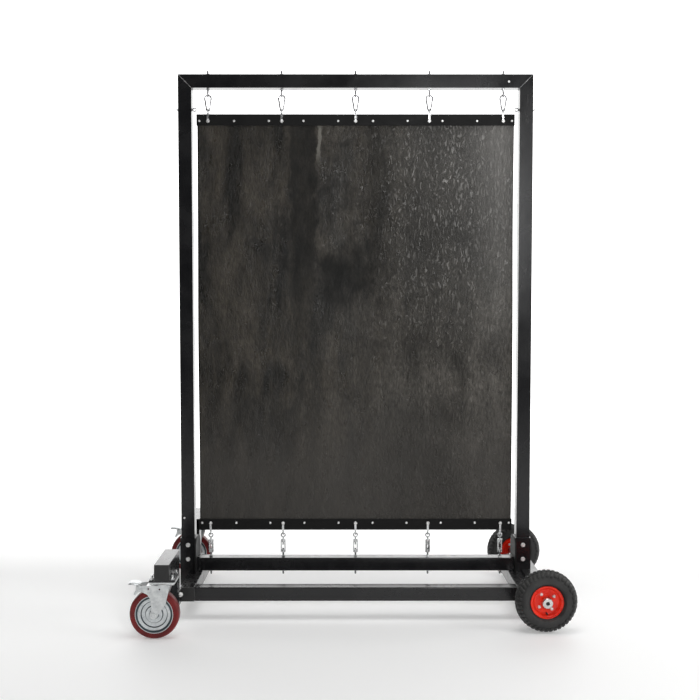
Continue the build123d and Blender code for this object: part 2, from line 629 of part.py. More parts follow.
# --- swivel casters -------------------------------------------------------------------------------
FORK_SKIN = 5.0
CHEEK = CASTER_WIDE / 2 + 6.0
CHEEK_THICK = 4.0
PIVOT = (-97.0, 209.0)
PIVOT_HOLE = 4.0
FORK_HOLES = (PIVOT, (-58.0, 210.0), (-13.0, 208.0))
FORK_LEVEL = FORK_TOP - FORK_SKIN
FORK_OUTLINE = ((31, FORK_LEVEL), (18, 178), (13, 152), (3, 134), (-24, 97), (-52, 98), (-46, 130),
                (-50, 166), (-62, 186), (-86, 198), (-102, 198), (-110, 206), (-109, 219), (-66, FORK_LEVEL))
FORK_BOSS_R = 16.0
KING_PLATE_R = 36.0
SADDLE_LONG, SADDLE_BACK = 96.0, 18.0
PEDAL_TIP = -139.0
PEDAL_OUTLINE = ((-86, 214), (-99, 199), (-114, 181.5), (-121, 185), (-110, 206), (-111, 220),
                 (PEDAL_TIP, 228), (PEDAL_TIP, 231.5), (-100, 226))
PEDAL_GAP = 1.5
CORE_R = 78.0
CASTER_AXLE_R = 6.0
AXLE_HEAD_R, AXLE_HEAD_HIGH = 9.5, 6.0


def caster(y, name):
    """Fork, wheel and brake pedal of one swivel caster."""
    axle_x = CASTER_X - CASTER_TRAIL
    with BuildPart() as fork:
        with BuildSketch(Plane.XY.offset(FORK_TOP)):
            with Locations((CASTER_X, y)):
                Circle(KING_PLATE_R)
        extrude(amount=-FORK_SKIN)
        with BuildSketch(Plane.XY.offset(FORK_TOP - FORK_SKIN)):
            with Locations((CASTER_X - SADDLE_BACK, y)):
                Rectangle(SADDLE_LONG, 2 * (CHEEK + CHEEK_THICK))
        extrude(amount=-FORK_SKIN)
        with BuildSketch(Plane.XY.offset(FORK_TOP)):
            with Locations((CASTER_X, y)):
                Circle(KING_R - RUNNING)
        extrude(amount=CASTER_HIGH - FORK_TOP)
        with BuildSketch(Plane.XZ.offset(-y - CHEEK - CHEEK_THICK)):
            Polygon(*[(CASTER_X + px, pz) for px, pz in FORK_OUTLINE], align=None)
            with Locations((axle_x, CASTER_R)):
                Circle(FORK_BOSS_R)
            with Locations((axle_x, CASTER_R)):
                Circle(CASTER_AXLE_R, mode=Mode.SUBTRACT)
            with Locations(*[(CASTER_X + px, pz) for px, pz in FORK_HOLES]):
                Circle(PIVOT_HOLE, mode=Mode.SUBTRACT)
        extrude(amount=CHEEK_THICK)
        mirror(fork.solids().sort_by(Axis.Z)[0], about=Plane.XZ.offset(-y))
    half = CASTER_WIDE / 2
    with BuildPart() as core:
        with BuildSketch(Plane((axle_x, y, CASTER_R), x_dir=(1, 0, 0), z_dir=(0, 0, 1))):
            Polygon((CASTER_AXLE_R + RUNNING, -half - 4), (17, -half - 4), (19, -half + 3), (34, -half + 3),
                    (37, -half + 9), (52, -half + 9), (55, -half + 4), (66, -half + 4), (70, -half + 0.5),
                    (CORE_R, -half + 0.5), (CORE_R, half - 0.5), (70, half - 0.5), (66, half - 4),
                    (55, half - 4), (52, half - 9), (37, half - 9), (34, half - 3), (19, half - 3),
                    (17, half + 4), (CASTER_AXLE_R + RUNNING, half + 4), align=None)
        revolve(axis=Axis((axle_x, y, CASTER_R), (0, 1, 0)))
    save(core.part, f"{name}_wheel_core")

    with BuildPart() as tread:
        with BuildSketch(Plane((axle_x, y, CASTER_R), x_dir=(1, 0, 0), z_dir=(0, 0, 1))):
            Polygon((CORE_R, -half), (CASTER_R - 7, -half), (CASTER_R - 2, -half + 4), (CASTER_R, -half + 12),
                    (CASTER_R, half - 12), (CASTER_R - 2, half - 4), (CASTER_R - 7, half), (CORE_R, half),
                    align=None)
        revolve(axis=Axis((axle_x, y, CASTER_R), (0, 1, 0)))
    save(tread.part, f"{name}_tread")

    with BuildPart() as axle:
        reach = CHEEK + CHEEK_THICK
        with Locations(Location((axle_x, y, CASTER_R), TO_FRONT)):
            Cylinder(CASTER_AXLE_R, 2 * reach)
        with Locations(Location((axle_x, y - reach, CASTER_R), TO_FRONT),
                       Location((axle_x, y + reach, CASTER_R), (-90, 0, 0))):
            Cylinder(AXLE_HEAD_R, AXLE_HEAD_HIGH, align=STANDING)
    save_group([fork.part, axle.part], f"{name}_fork")

    inside = CHEEK - PEDAL_GAP
    with BuildPart() as pedal:
        with BuildSketch(Plane.XZ.offset(-y - inside)):
            Polygon(*[(CASTER_X + px, pz) for px, pz in PEDAL_OUTLINE], align=None)
        extrude(amount=2 * inside)
        with Locations(Location((CASTER_X + PIVOT[0], y, PIVOT[1]), TO_FRONT)):
            Cylinder(PIVOT_HOLE - RUNNING, 2 * (CHEEK + CHEEK_THICK + 2))
    save(pedal.part, f"{name}_brake_pedal")


caster(-CASTER_Y, "front")
caster(CASTER_Y, "rear")

# --- tyred wheels ---------------------------------------------------------------------------------
TYRE_ROUND = TYRE_WIDE / 2
BEAD_HALF = 24.0
HUB_R = 21.5
HUB_HALF = 47.0


def tyred_wheel(y, name):
    """A fat tyre on a pressed rim that turns on the fixed axle."""
    hub_plane = Plane((TYRE_X, y, TYRE_R), x_dir=(1, 0, 0), z_dir=(0, 0, 1))
    spin = Axis((TYRE_X, y, TYRE_R), (0, 1, 0))
    with BuildPart() as tyre:
        with BuildSketch(hub_plane):
            with BuildLine():
                Polyline((RIM_R - 9, BEAD_HALF), (RIM_R + 2, BEAD_HALF + 4), (RIM_R + 12, TYRE_ROUND - 4))
                Spline((RIM_R + 12, TYRE_ROUND - 4), (RIM_R + 30, TYRE_ROUND), (TYRE_R - 12, TYRE_ROUND - 10),
                       (TYRE_R, 0), (TYRE_R - 12, 10 - TYRE_ROUND), (RIM_R + 30, -TYRE_ROUND),
                       (RIM_R + 12, 4 - TYRE_ROUND))
                Polyline((RIM_R + 12, 4 - TYRE_ROUND), (RIM_R + 2, -BEAD_HALF - 4), (RIM_R - 9, -BEAD_HALF),
                         (RIM_R - 9, BEAD_HALF))
            make_face()
        revolve(axis=spin)
    save(tyre.part, f"{name}_tyre")

    with BuildPart() as rim:
        with BuildSketch(hub_plane):
            Polygon((RIM_R - 13, BEAD_HALF), (RIM_R - 9, BEAD_HALF), (RIM_R - 9, -BEAD_HALF),
                    (RIM_R - 13, -BEAD_HALF), (RIM_R - 14, -12), (45, -16), (32, -10), (HUB_R, -14),
                    (HUB_R, -10), (32, -6), (45, -12), (RIM_R - 14, -8), (RIM_R - 14, 8), (45, 12), (32, 6),
                    (HUB_R, 10), (HUB_R, 14), (32, 10), (45, 16), (RIM_R - 14, 12), align=None)
        revolve(axis=spin)
    save(rim.part, f"{name}_rim")

    with BuildPart() as hub:
        with BuildSketch(Plane.XZ.offset(-y - HUB_HALF)):
            with Locations((TYRE_X, TYRE_R)):
                Circle(HUB_R)
                Circle(AXLE_R + RUNNING, mode=Mode.SUBTRACT)
        extrude(amount=2 * HUB_HALF)
        rim_edges = hub.edges().filter_by(GeomType.CIRCLE).filter_by(lambda e: e.radius > HUB_R - 1)
        chamfer(rim_edges, 2)
    save(hub.part, f"{name}_hub")


tyred_wheel(-TYRE_Y, "front")
tyred_wheel(TYRE_Y, "rear")
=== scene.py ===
# %% [markdown]
# # A rolling backdrop stand
# The stand is a tall black goalpost on a low frame with wheels. A dark sheet hangs in it from five spring
# hooks and is pulled tight by five turnbuckles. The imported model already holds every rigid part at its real
# size, so this lesson gives those parts their finishes and builds only what needs finer shape: the sheet, the
# tyres, the rims, the pedals and the welds.

# %% Load the frame
import json
import math
import random

import bmesh
import bpy
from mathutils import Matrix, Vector


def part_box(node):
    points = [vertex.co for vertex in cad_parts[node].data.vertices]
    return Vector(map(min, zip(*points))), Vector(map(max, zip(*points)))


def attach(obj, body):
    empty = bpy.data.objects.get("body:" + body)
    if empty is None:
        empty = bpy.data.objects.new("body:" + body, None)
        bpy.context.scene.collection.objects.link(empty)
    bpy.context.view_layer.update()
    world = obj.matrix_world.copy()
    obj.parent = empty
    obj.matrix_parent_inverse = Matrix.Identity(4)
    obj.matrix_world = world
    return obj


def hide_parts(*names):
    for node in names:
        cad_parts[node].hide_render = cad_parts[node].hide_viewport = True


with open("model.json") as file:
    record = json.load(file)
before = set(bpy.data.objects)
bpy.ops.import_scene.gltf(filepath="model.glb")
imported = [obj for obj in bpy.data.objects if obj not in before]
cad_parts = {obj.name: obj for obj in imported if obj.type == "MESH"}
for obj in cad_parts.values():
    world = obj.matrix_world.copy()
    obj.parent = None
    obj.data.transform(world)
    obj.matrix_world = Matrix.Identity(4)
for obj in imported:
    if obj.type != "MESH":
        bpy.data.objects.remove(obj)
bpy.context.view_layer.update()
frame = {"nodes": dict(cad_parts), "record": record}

# %% [markdown]
# ## Camera and studio
# The camera stands a little left of the middle, 1.4 m up and almost level, and looks at the sheet straight
# on. A short telephoto keeps the uprights parallel. The white sweep glows more towards its wall, and gives
# the tubes' top faces something bright to mirror, which is how black gloss paint shows its shape. A narrow
# strip light beside the camera puts a glint on the right half of the sheet and leaves the left upright dark.

# %% Camera
CAMERA_AT = Vector((-0.0312, -4.816, 1.4067))
CAMERA_DOWN = 0.0528
CAMERA_TURN = -0.0013
CAMERA_LENS = 54.78

bpy.context.scene.view_settings.view_transform = "Standard"
camera_data = bpy.data.cameras.new("camera")
camera_data.lens = CAMERA_LENS
camera_data.sensor_width = 36.0
camera = bpy.data.objects.new("camera", camera_data)
camera.location = CAMERA_AT
camera.rotation_euler = (math.pi / 2 - CAMERA_DOWN, 0, CAMERA_TURN)
bpy.context.scene.collection.objects.link(camera)
bpy.context.scene.camera = camera
print("camera", camera_data.lens)


# %% [markdown]
# A mesh is easiest to keep tidy when one helper turns points and faces into an object. The same helper makes
# the sweep here and the sheet later.

# %% Mesh helper
def mesh_object(name, points, faces, smooth=True):
    """An object from plain points and faces."""
    mesh = bpy.data.meshes.new(name)
    mesh.from_pydata([tuple(p) for p in points], [], faces)
    mesh.update()
    for polygon in mesh.polygons:
        polygon.use_smooth = smooth
    made = bpy.data.objects.new(name, mesh)
    bpy.context.scene.collection.objects.link(made)
    return made


def grid_faces(rows, columns, wrap_rows=False, wrap_columns=False):
    """Quads over a grid of points stored row by row."""
    faces = []
    for r in range(rows if wrap_rows else rows - 1):
        for c in range(columns if wrap_columns else columns - 1):
            r2, c2 = (r + 1) % rows, (c + 1) % columns
            faces.append((r * columns + c, r * columns + c2, r2 * columns + c2, r2 * columns + c))
    return faces


# %% Sweep behind and below
SWEEP_FRONT, SWEEP_BACK, SWEEP_RADIUS, SWEEP_HIGH, SWEEP_HALF = -9.0, 4.0, 3.0, 9.0, 12.0
SWEEP_STEPS = 16
GLOW_FROM = 0.5

profile = [(SWEEP_FRONT, 0.0), (SWEEP_BACK, 0.0)]
for step in range(1, SWEEP_STEPS + 1):
    turn = step / SWEEP_STEPS * math.pi / 2
    profile.append((SWEEP_BACK + SWEEP_RADIUS * math.sin(turn), SWEEP_RADIUS * (1 - math.cos(turn))))
profile.append((SWEEP_BACK + SWEEP_RADIUS, SWEEP_HIGH))
sweep_points = [(x, y, z) for y, z in profile for x in (-SWEEP_HALF, SWEEP_HALF)]
sweep = mesh_object("studio_sweep", sweep_points, grid_faces(len(profile), 2))

FLOOR_GLOW = (0.22, 0.22, 0.22, 1)
WALL_GLOW = (1.5, 1.5, 1.5, 1)
pale = bpy.data.materials.new("pale paper sweep")
pale.use_nodes = True
pale_tree = pale.node_tree
pale_shader = pale_tree.nodes["Principled BSDF"]
pale_shader.inputs["Base Color"].default_value = (0.84, 0.84, 0.835, 1)
pale_shader.inputs["Roughness"].default_value = 0.6
pale_shader.inputs["Emission Strength"].default_value = 1.0
pale_place = pale_tree.nodes.new("ShaderNodeTexCoord")
pale_axes = pale_tree.nodes.new("ShaderNodeSeparateXYZ")
pale_rise = pale_tree.nodes.new("ShaderNodeMapRange")
pale_rise.inputs["From Min"].default_value = GLOW_FROM
pale_rise.inputs["From Max"].default_value = SWEEP_BACK
pale_glow = pale_tree.nodes.new("ShaderNodeMix")
pale_glow.data_type = "RGBA"
pale_glow.inputs[6].default_value = FLOOR_GLOW
pale_glow.inputs[7].default_value = WALL_GLOW
pale_tree.links.new(pale_place.outputs["Object"], pale_axes.inputs[0])
pale_tree.links.new(pale_axes.outputs["Y"], pale_rise.inputs["Value"])
pale_tree.links.new(pale_rise.outputs[0], pale_glow.inputs[0])
pale_tree.links.new(pale_glow.outputs[2], pale_shader.inputs["Emission Color"])
sweep.data.materials.append(pale)

# %% Soft lights
LIGHTS = (
    ("top_softbox", (0.5, -0.9, 5.2), (0.1, 0, 0.2), 3.6, 2.6, 105.0),
    ("key_strip", (0.84, -4.7, 2.12), (0.3, 0, 1.4), 0.4, 1.4, 62.0),
    ("side_softbox", (5.0, -2.2, 1.9), (0.7, 0, 0.9), 1.6, 3.0, 70.0),
)
for light_name, stand, aim, wide, tall, power in LIGHTS:
    lamp_data = bpy.data.lights.new(light_name, "AREA")
    lamp_data.shape = "RECTANGLE"
    lamp_data.size = wide
    lamp_data.size_y = tall
    lamp_data.energy = power
    lamp = bpy.data.objects.new(light_name, lamp_data)
    lamp.location = stand
    lamp.rotation_euler = (Vector(aim) - Vector(stand)).to_track_quat("-Z", "Y").to_euler()
    bpy.context.scene.collection.objects.link(lamp)

WORLD_STRENGTH = 0.06
world = bpy.data.worlds.new("studio air")
world.use_nodes = True
world.node_tree.nodes["Background"].inputs["Color"].default_value = (1, 1, 1, 1)
world.node_tree.nodes["Background"].inputs["Strength"].default_value = WORLD_STRENGTH
bpy.context.scene.world = world
print("lights", len(LIGHTS))

# %% [markdown]
# ## Shared effects
# Every finish here needs the same few effects: uneven colour, worn edges (a painted highlight on the bright
# zincs), settled dust and fine relief.
# Each is a node group with named inputs, built once. A group puts out only colours, masks and values, and
# the shader stays in the material.


# %% Group helper
class Effect:
    """A shader node group under construction."""

    def __init__(self, name, inputs, outputs):
        self.tree = bpy.data.node_groups.new(name, "ShaderNodeTree")
        for label, kind, value in inputs:
            socket = self.tree.interface.new_socket(label, in_out="INPUT", socket_type=f"NodeSocket{kind}")
            socket.default_value = value
        for label, kind in outputs:
            self.tree.interface.new_socket(label, in_out="OUTPUT", socket_type=f"NodeSocket{kind}")
        self.given = self.tree.nodes.new("NodeGroupInput").outputs
        self.result = self.tree.nodes.new("NodeGroupOutput").inputs

    def node(self, kind, settings=None, **links):
        return add_node(self.tree, kind, settings, **links)


def add_node(tree, kind, settings=None, **links):
    """A node with its settings, and its inputs linked or set by name."""
    made = tree.nodes.new(kind)
    for key, value in (settings or {}).items():
        setattr(made, key, value)
    for key, value in links.items():
        socket = made.inputs[int(key[1:])] if key[1:].isdigit() else made.inputs[key.replace("_", " ")]
        if isinstance(value, bpy.types.NodeSocket):
            tree.links.new(value, socket)
        else:
            socket.default_value = value
    return made


# %% Uneven colour
mottle = Effect(
    "Mottle",
    [("Light", "Color", (0.1, 0.1, 0.1, 1)), ("Dark", "Color", (0.02, 0.02, 0.02, 1)),
     ("Scale", "Float", 5.0), ("Stretch", "Vector", (1.0, 1.0, 1.0)),
     ("Low", "Float", 0.35), ("High", "Float", 0.65)],
    [("Colour", "Color"), ("Mask", "Float")],
)
place = mottle.node("ShaderNodeTexCoord")
stretched = mottle.node("ShaderNodeVectorMath", {"operation": "MULTIPLY"},
                        i0=place.outputs["Object"], i1=mottle.given["Stretch"])
cloud = mottle.node("ShaderNodeTexNoise", Vector=stretched.outputs[0], Scale=mottle.given["Scale"],
                    Detail=5.0, Roughness=0.6, Distortion=0.4)
spread = mottle.node("ShaderNodeMapRange", Value=cloud.outputs["Fac"], From_Min=mottle.given["Low"],
                     From_Max=mottle.given["High"])
blend = mottle.node("ShaderNodeMix", {"data_type": "RGBA"}, i0=spread.outputs[0], i6=mottle.given["Dark"],
                    i7=mottle.given["Light"])
mottle.tree.links.new(blend.outputs[2], mottle.result["Colour"])
mottle.tree.links.new(spread.outputs[0], mottle.result["Mask"])

# %% [markdown]
# A sharp outside edge loses its paint first. The Bevel node returns a normal that is rounded near an edge, so
# where it differs from the true normal there is an edge. A noise breaks the line up, because real wear skips.
# On the paints the mask is wear; on the bright zincs the same mask lays a painted highlight along the edges.

# %% Worn edges and painted edge highlights
edge_wear_and_glint = Effect("Edge Wear And Glint", [("Radius", "Float", 0.002), ("Amount", "Float", 0.5), ("Scale", "Float", 60.0)],
              [("Mask", "Float")])
soft_edge = edge_wear_and_glint.node("ShaderNodeBevel", {"samples": 4}, Radius=edge_wear_and_glint.given["Radius"])
flat = edge_wear_and_glint.node("ShaderNodeNewGeometry")
agree = edge_wear_and_glint.node("ShaderNodeVectorMath", {"operation": "DOT_PRODUCT"}, i0=soft_edge.outputs[0],
                  i1=flat.outputs["Normal"])
edge = edge_wear_and_glint.node("ShaderNodeMapRange", Value=agree.outputs["Value"], From_Min=0.995, From_Max=0.86)
spots = edge_wear_and_glint.node("ShaderNodeTexNoise", Vector=edge_wear_and_glint.node("ShaderNodeTexCoord").outputs["Object"],
                  Scale=edge_wear_and_glint.given["Scale"], Detail=4.0)
broken = edge_wear_and_glint.node("ShaderNodeMapRange", Value=spots.outputs["Fac"], From_Min=0.45, From_Max=0.6)
both = edge_wear_and_glint.node("ShaderNodeMath", {"operation": "MULTIPLY"}, i0=edge.outputs[0], i1=broken.outputs[0])
scaled = edge_wear_and_glint.node("ShaderNodeMath", {"operation": "MULTIPLY"}, i0=both.outputs[0], i1=edge_wear_and_glint.given["Amount"])
edge_wear_and_glint.tree.links.new(scaled.outputs[0], edge_wear_and_glint.result["Mask"])

# %% Settled dust
dust = Effect("Settled Dust", [("Amount", "Float", 0.3), ("Scale", "Float", 25.0)], [("Mask", "Float")])
facing = dust.node("ShaderNodeSeparateXYZ", i0=dust.node("ShaderNodeNewGeometry").outputs["Normal"])
upward = dust.node("ShaderNodeMapRange", Value=facing.outputs["Z"], From_Min=0.3, From_Max=1.0)
patchy = dust.node("ShaderNodeTexNoise", Vector=dust.node("ShaderNodeTexCoord").outputs["Object"],
                   Scale=dust.given["Scale"], Detail=6.0, Roughness=0.7)
drift = dust.node("ShaderNodeMapRange", Value=patchy.outputs["Fac"], From_Min=0.35, From_Max=0.75)
lying = dust.node("ShaderNodeMath", {"operation": "MULTIPLY"}, i0=upward.outputs[0], i1=drift.outputs[0])
sifted = dust.node("ShaderNodeMath", {"operation": "MULTIPLY"}, i0=lying.outputs[0], i1=dust.given["Amount"])
dust.tree.links.new(sifted.outputs[0], dust.result["Mask"])

# %% [markdown]
# Powder coat, leather and cast rubber all have a fine relief. One group gives a height made of cells and
# noise at the scale that each finish asks for.

# %% Fine relief
relief = Effect("Fine Relief", [("Cells", "Float", 400.0), ("Noise", "Float", 900.0), ("Mix", "Float", 0.5)],
                [("Height", "Float")])
where = relief.node("ShaderNodeTexCoord")
cells = relief.node("ShaderNodeTexVoronoi", {"feature": "DISTANCE_TO_EDGE"}, Vector=where.outputs["Object"],
                    Scale=relief.given["Cells"])
cell_height = relief.node("ShaderNodeMapRange", Value=cells.outputs["Distance"], From_Min=0.0, From_Max=0.22)
fine = relief.node("ShaderNodeTexNoise", Vector=where.outputs["Object"], Scale=relief.given["Noise"],
                   Detail=3.0)
mixed = relief.node("ShaderNodeMix", {"data_type": "FLOAT"}, i0=relief.given["Mix"],
                    i2=cell_height.outputs[0], i3=fine.outputs["Fac"])
relief.tree.links.new(mixed.outputs[0], relief.result["Height"])


# %% [markdown]
# ## Finishes
# A finish is a Principled shader fed by those groups. One function wires the usual set: mottled colour, worn
# edges (a painted highlight on the bright zincs), dust, relief. The numbers are what set powder coat apart
# from zinc or rubber.

# %% One finish from shared effects
def group_node(tree, effect, **links):
    """A placed group with its inputs set."""
    return add_node(tree, "ShaderNodeGroup", {"node_tree": effect.tree}, **links)


DUST_GREY = (0.42, 0.41, 0.39, 1)
COAT_ROUGH = 0.12
GRAIN_DEEP = 0.0005


def finish(name, light, dark, rough, metal=0.0, scale=8.0, stretch=(1, 1, 1), edge=None, dusty=0.0,
           cells=400.0, noise=900.0, mix=0.6, bump=0.1, coat=0.0, specular=0.5):
    """A material: colours and roughness range, then how worn, dusty and grainy it is; on bright zinc the edge
    colour is a painted highlight.
    """
    material = bpy.data.materials.new(name)
    material.use_nodes = True
    tree = material.node_tree
    shader = tree.nodes["Principled BSDF"]
    shader.inputs["Metallic"].default_value = metal
    shader.inputs["Coat Weight"].default_value = coat
    shader.inputs["Coat Roughness"].default_value = COAT_ROUGH
    shader.inputs["Specular IOR Level"].default_value = specular
    uneven = group_node(tree, mottle, Light=(*light, 1), Dark=(*dark, 1), Scale=scale, Stretch=stretch)
    colour = uneven.outputs["Colour"]
    if edge:
        edges = group_node(tree, edge_wear_and_glint, Radius=edge[1], Amount=edge[2])
        colour = add_node(tree, "ShaderNodeMix", {"data_type": "RGBA"}, i0=edges.outputs[0], i6=colour,
                          i7=(*edge[0], 1)).outputs[2]
    roughness = add_node(tree, "ShaderNodeMapRange", Value=uneven.outputs["Mask"], To_Min=rough[0],
                         To_Max=rough[1]).outputs[0]
    if dusty:
        settled = group_node(tree, dust, Amount=dusty)
        colour = add_node(tree, "ShaderNodeMix", {"data_type": "RGBA"}, i0=settled.outputs[0], i6=colour,
                          i7=DUST_GREY).outputs[2]
        roughness = add_node(tree, "ShaderNodeMath", {"operation": "ADD", "use_clamp": True}, i0=roughness,
                             i1=settled.outputs[0]).outputs[0]
    grain = group_node(tree, relief, Cells=cells, Noise=noise, Mix=mix)
    bumped = add_node(tree, "ShaderNodeBump", Strength=bump, Distance=GRAIN_DEEP, Height=grain.outputs[0])
    tree.links.new(colour, shader.inputs["Base Color"])
    tree.links.new(roughness, shader.inputs["Roughness"])
    tree.links.new(bumped.outputs[0], shader.inputs["Normal"])
    return material


# %% Paints and plastics
black_paint = finish("black powder coat", (0.011, 0.011, 0.012), (0.004, 0.004, 0.005), (0.2, 0.3), scale=5.0,
                     edge=((0.07, 0.07, 0.072), 0.0022, 0.5), dusty=0.07, cells=1400, noise=900, mix=0.5,
                     bump=0.06, coat=0.3, specular=0.3)
batten_paint = finish("batten black", (0.006, 0.006, 0.006), (0.003, 0.003, 0.003), (0.42, 0.6), scale=12.0,
                      edge=((0.05, 0.05, 0.05), 0.0015, 0.4), dusty=0.05, bump=0.1, specular=0.18)
plate_paint = finish("satin black plate", (0.012, 0.012, 0.013), (0.006, 0.006, 0.006), (0.5, 0.65),
                     scale=9.0, edge=((0.06, 0.06, 0.062), 0.002, 0.5), dusty=0.05, cells=1400, bump=0.1,
                     specular=0.15)
cap_plastic = finish("moulded cap plastic", (0.02, 0.02, 0.021), (0.012, 0.012, 0.012), (0.4, 0.55),
                     cells=1800, bump=0.2, dusty=0.15)
rim_red = finish("red gloss enamel", (1.0, 0.036, 0.010), (0.76, 0.020, 0.008), (0.26, 0.4), scale=20.0,
                 edge=((0.9, 0.2, 0.12), 0.002, 0.3), coat=0.15, specular=0.3, bump=0.06)
race_red = finish("red swivel seal", (0.28, 0.03, 0.022), (0.18, 0.02, 0.015), (0.4, 0.55), bump=0.1)

# %% Metals
bright_zinc = finish("bright zinc", (0.78, 0.79, 0.79), (0.56, 0.57, 0.58), (0.18, 0.34), metal=1.0,
                     scale=90.0, noise=1500, bump=0.08)
head_zinc = finish("domed zinc heads", (0.94, 0.94, 0.93), (0.78, 0.78, 0.77), (0.24, 0.4), metal=0.5,
                   scale=120.0, noise=1500, bump=0.06)
hook_steel = finish("polished hook steel", (0.50, 0.50, 0.51), (0.28, 0.28, 0.29), (0.12, 0.28), metal=1.0,
                    scale=70.0, noise=1800, bump=0.05)
ground_weld = finish("ground weld", (0.42, 0.42, 0.42), (0.16, 0.16, 0.16), (0.25, 0.45), metal=0.9,
                     scale=150.0, noise=2200, bump=0.3)
dark_zinc = finish("dull zinc", (0.3, 0.3, 0.3), (0.16, 0.16, 0.165), (0.3, 0.5), metal=1.0, scale=90.0,
                   bump=0.1)
# The pale edge colour on the pressed zinc is a painted highlight along its edges.
caster_zinc = finish("pressed zinc plate", (0.80, 0.82, 0.82), (0.54, 0.56, 0.57), (0.28, 0.48), metal=0.85,
                     scale=45.0, edge=((0.92, 0.92, 0.92), 0.0015, 0.6), dusty=0.06, bump=0.12)
hub_steel = finish("turned steel", (0.74, 0.74, 0.73), (0.55, 0.55, 0.54), (0.18, 0.32), metal=1.0,
                   stretch=(1, 40, 1), scale=30.0, bump=0.1)
weld_metal = finish("painted weld", (0.03, 0.03, 0.031), (0.014, 0.014, 0.015), (0.25, 0.4), scale=120.0,
                    noise=1800, bump=0.3)

# %% Rubbers
tyre_rubber = finish("tyre rubber", (0.045, 0.045, 0.044), (0.02, 0.02, 0.02), (0.5, 0.72), scale=14.0,
                     dusty=0.2, cells=900, noise=2200, mix=0.7, bump=0.25, specular=0.35)
red_urethane = finish("red tread", (0.21, 0.013, 0.014), (0.11, 0.007, 0.008), (0.3, 0.5), scale=16.0,
                      dusty=0.06, cells=500, noise=1600, mix=0.8, bump=0.14, specular=0.32)
print("materials", len(bpy.data.materials))

# %% [markdown]
# The caster discs are pressed in steps, and the finish paints shade into each step. It measures how far a
# point is from the axle and darkens the grooves' radii with a blue-grey painted shade. The distance comes
# from the object's own coordinates, so the rings turn with the wheel.

# %% Caster disc
# Painted shade: a blue-grey darkening on the groove radii, where shade falls in the pressed steps.
GROOVE_SHADE = (0.055, 0.075, 0.085, 1)
GROOVES = ((0.0715, 0.0052), (0.0535, 0.0022), (0.0355, 0.0022), (0.0185, 0.0015))
AXLE_AT = (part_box("front_wheel_core")[0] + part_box("front_wheel_core")[1]) / 2
# The disc's pale edge colour is a painted highlight along the edges of its steps.
disc_zinc = finish("stepped zinc disc", (0.78, 0.81, 0.82), (0.50, 0.53, 0.55), (0.26, 0.44), metal=0.85,
                   scale=30.0, edge=((0.92, 0.93, 0.94), 0.0012, 0.7), dusty=0.08, bump=0.1)
disc_tree = disc_zinc.node_tree
disc_place = add_node(disc_tree, "ShaderNodeTexCoord")
disc_axes = add_node(disc_tree, "ShaderNodeSeparateXYZ", i0=disc_place.outputs["Object"])
disc_flat = add_node(disc_tree, "ShaderNodeCombineXYZ", X=disc_axes.outputs["X"], Z=disc_axes.outputs["Z"])
disc_far = add_node(disc_tree, "ShaderNodeVectorMath", {"operation": "DISTANCE"}, i0=disc_flat.outputs[0],
                    i1=(AXLE_AT.x, 0.0, AXLE_AT.z))
groove_shade = None
for groove_r, groove_half in GROOVES:
    off = add_node(disc_tree, "ShaderNodeMath", {"operation": "SUBTRACT"}, i0=disc_far.outputs["Value"],
                   i1=groove_r)
    away = add_node(disc_tree, "ShaderNodeMath", {"operation": "ABSOLUTE"}, i0=off.outputs[0])
    ring = add_node(disc_tree, "ShaderNodeMapRange", Value=away.outputs[0], From_Min=groove_half * 0.55,
                    From_Max=groove_half, To_Min=1.0, To_Max=0.0)
    if groove_shade is None:
        groove_shade = ring.outputs[0]
    else:
        groove_shade = add_node(disc_tree, "ShaderNodeMath", {"operation": "MAXIMUM"}, i0=groove_shade,
                         i1=ring.outputs[0]).outputs[0]
disc_shader = disc_tree.nodes["Principled BSDF"]
disc_unshaded = disc_shader.inputs["Base Color"].links[0].from_socket
disc_shaded = add_node(disc_tree, "ShaderNodeMix", {"data_type": "RGBA"}, i0=groove_shade, i6=disc_unshaded,
                      i7=GROOVE_SHADE)
disc_tree.links.new(disc_shaded.outputs[2], disc_shader.inputs["Base Color"])
print("grooves", len(GROOVES))

# %% [markdown]
# ## Threads
# A threaded rod catches light in fine rings. The rods stand along Z, so a wave along Z with the pitch of an
# M8 screw does for the bump, and no geometry is needed at this size. At scale 1 the wave repeats every
# pi / 10 metres, hence the factor below.

# %% Threaded rods
THREAD_PITCH = 0.00125
WAVE_FACTOR = 3.183


def add_thread(material):
    """A copy of a metal with thread rings along Z."""
    threaded = material.copy()
    threaded.name = material.name + " thread"
    tree = threaded.node_tree
    place = add_node(tree, "ShaderNodeTexCoord")
    rings = add_node(tree, "ShaderNodeTexWave", {"bands_direction": "Z"}, Vector=place.outputs["Object"],
                     Scale=1 / (THREAD_PITCH * WAVE_FACTOR))
    cut = add_node(tree, "ShaderNodeBump", Strength=0.7, Distance=0.0006, Height=rings.outputs["Fac"])
    tree.links.new(cut.outputs[0], tree.nodes["Principled BSDF"].inputs["Normal"])
    return threaded


rod_zinc = add_thread(dark_zinc)
screw_zinc = add_thread(bright_zinc)

# %% [markdown]
# ## Dressing the rigid parts
# Each rigid node keeps its shape. Only its material slot changes, and the record's slot says which finish it
# takes. A few nodes then take a finish of their own: the plates are flatter black than the tubes, the hooks
# are polished, and the small domed heads are pale.

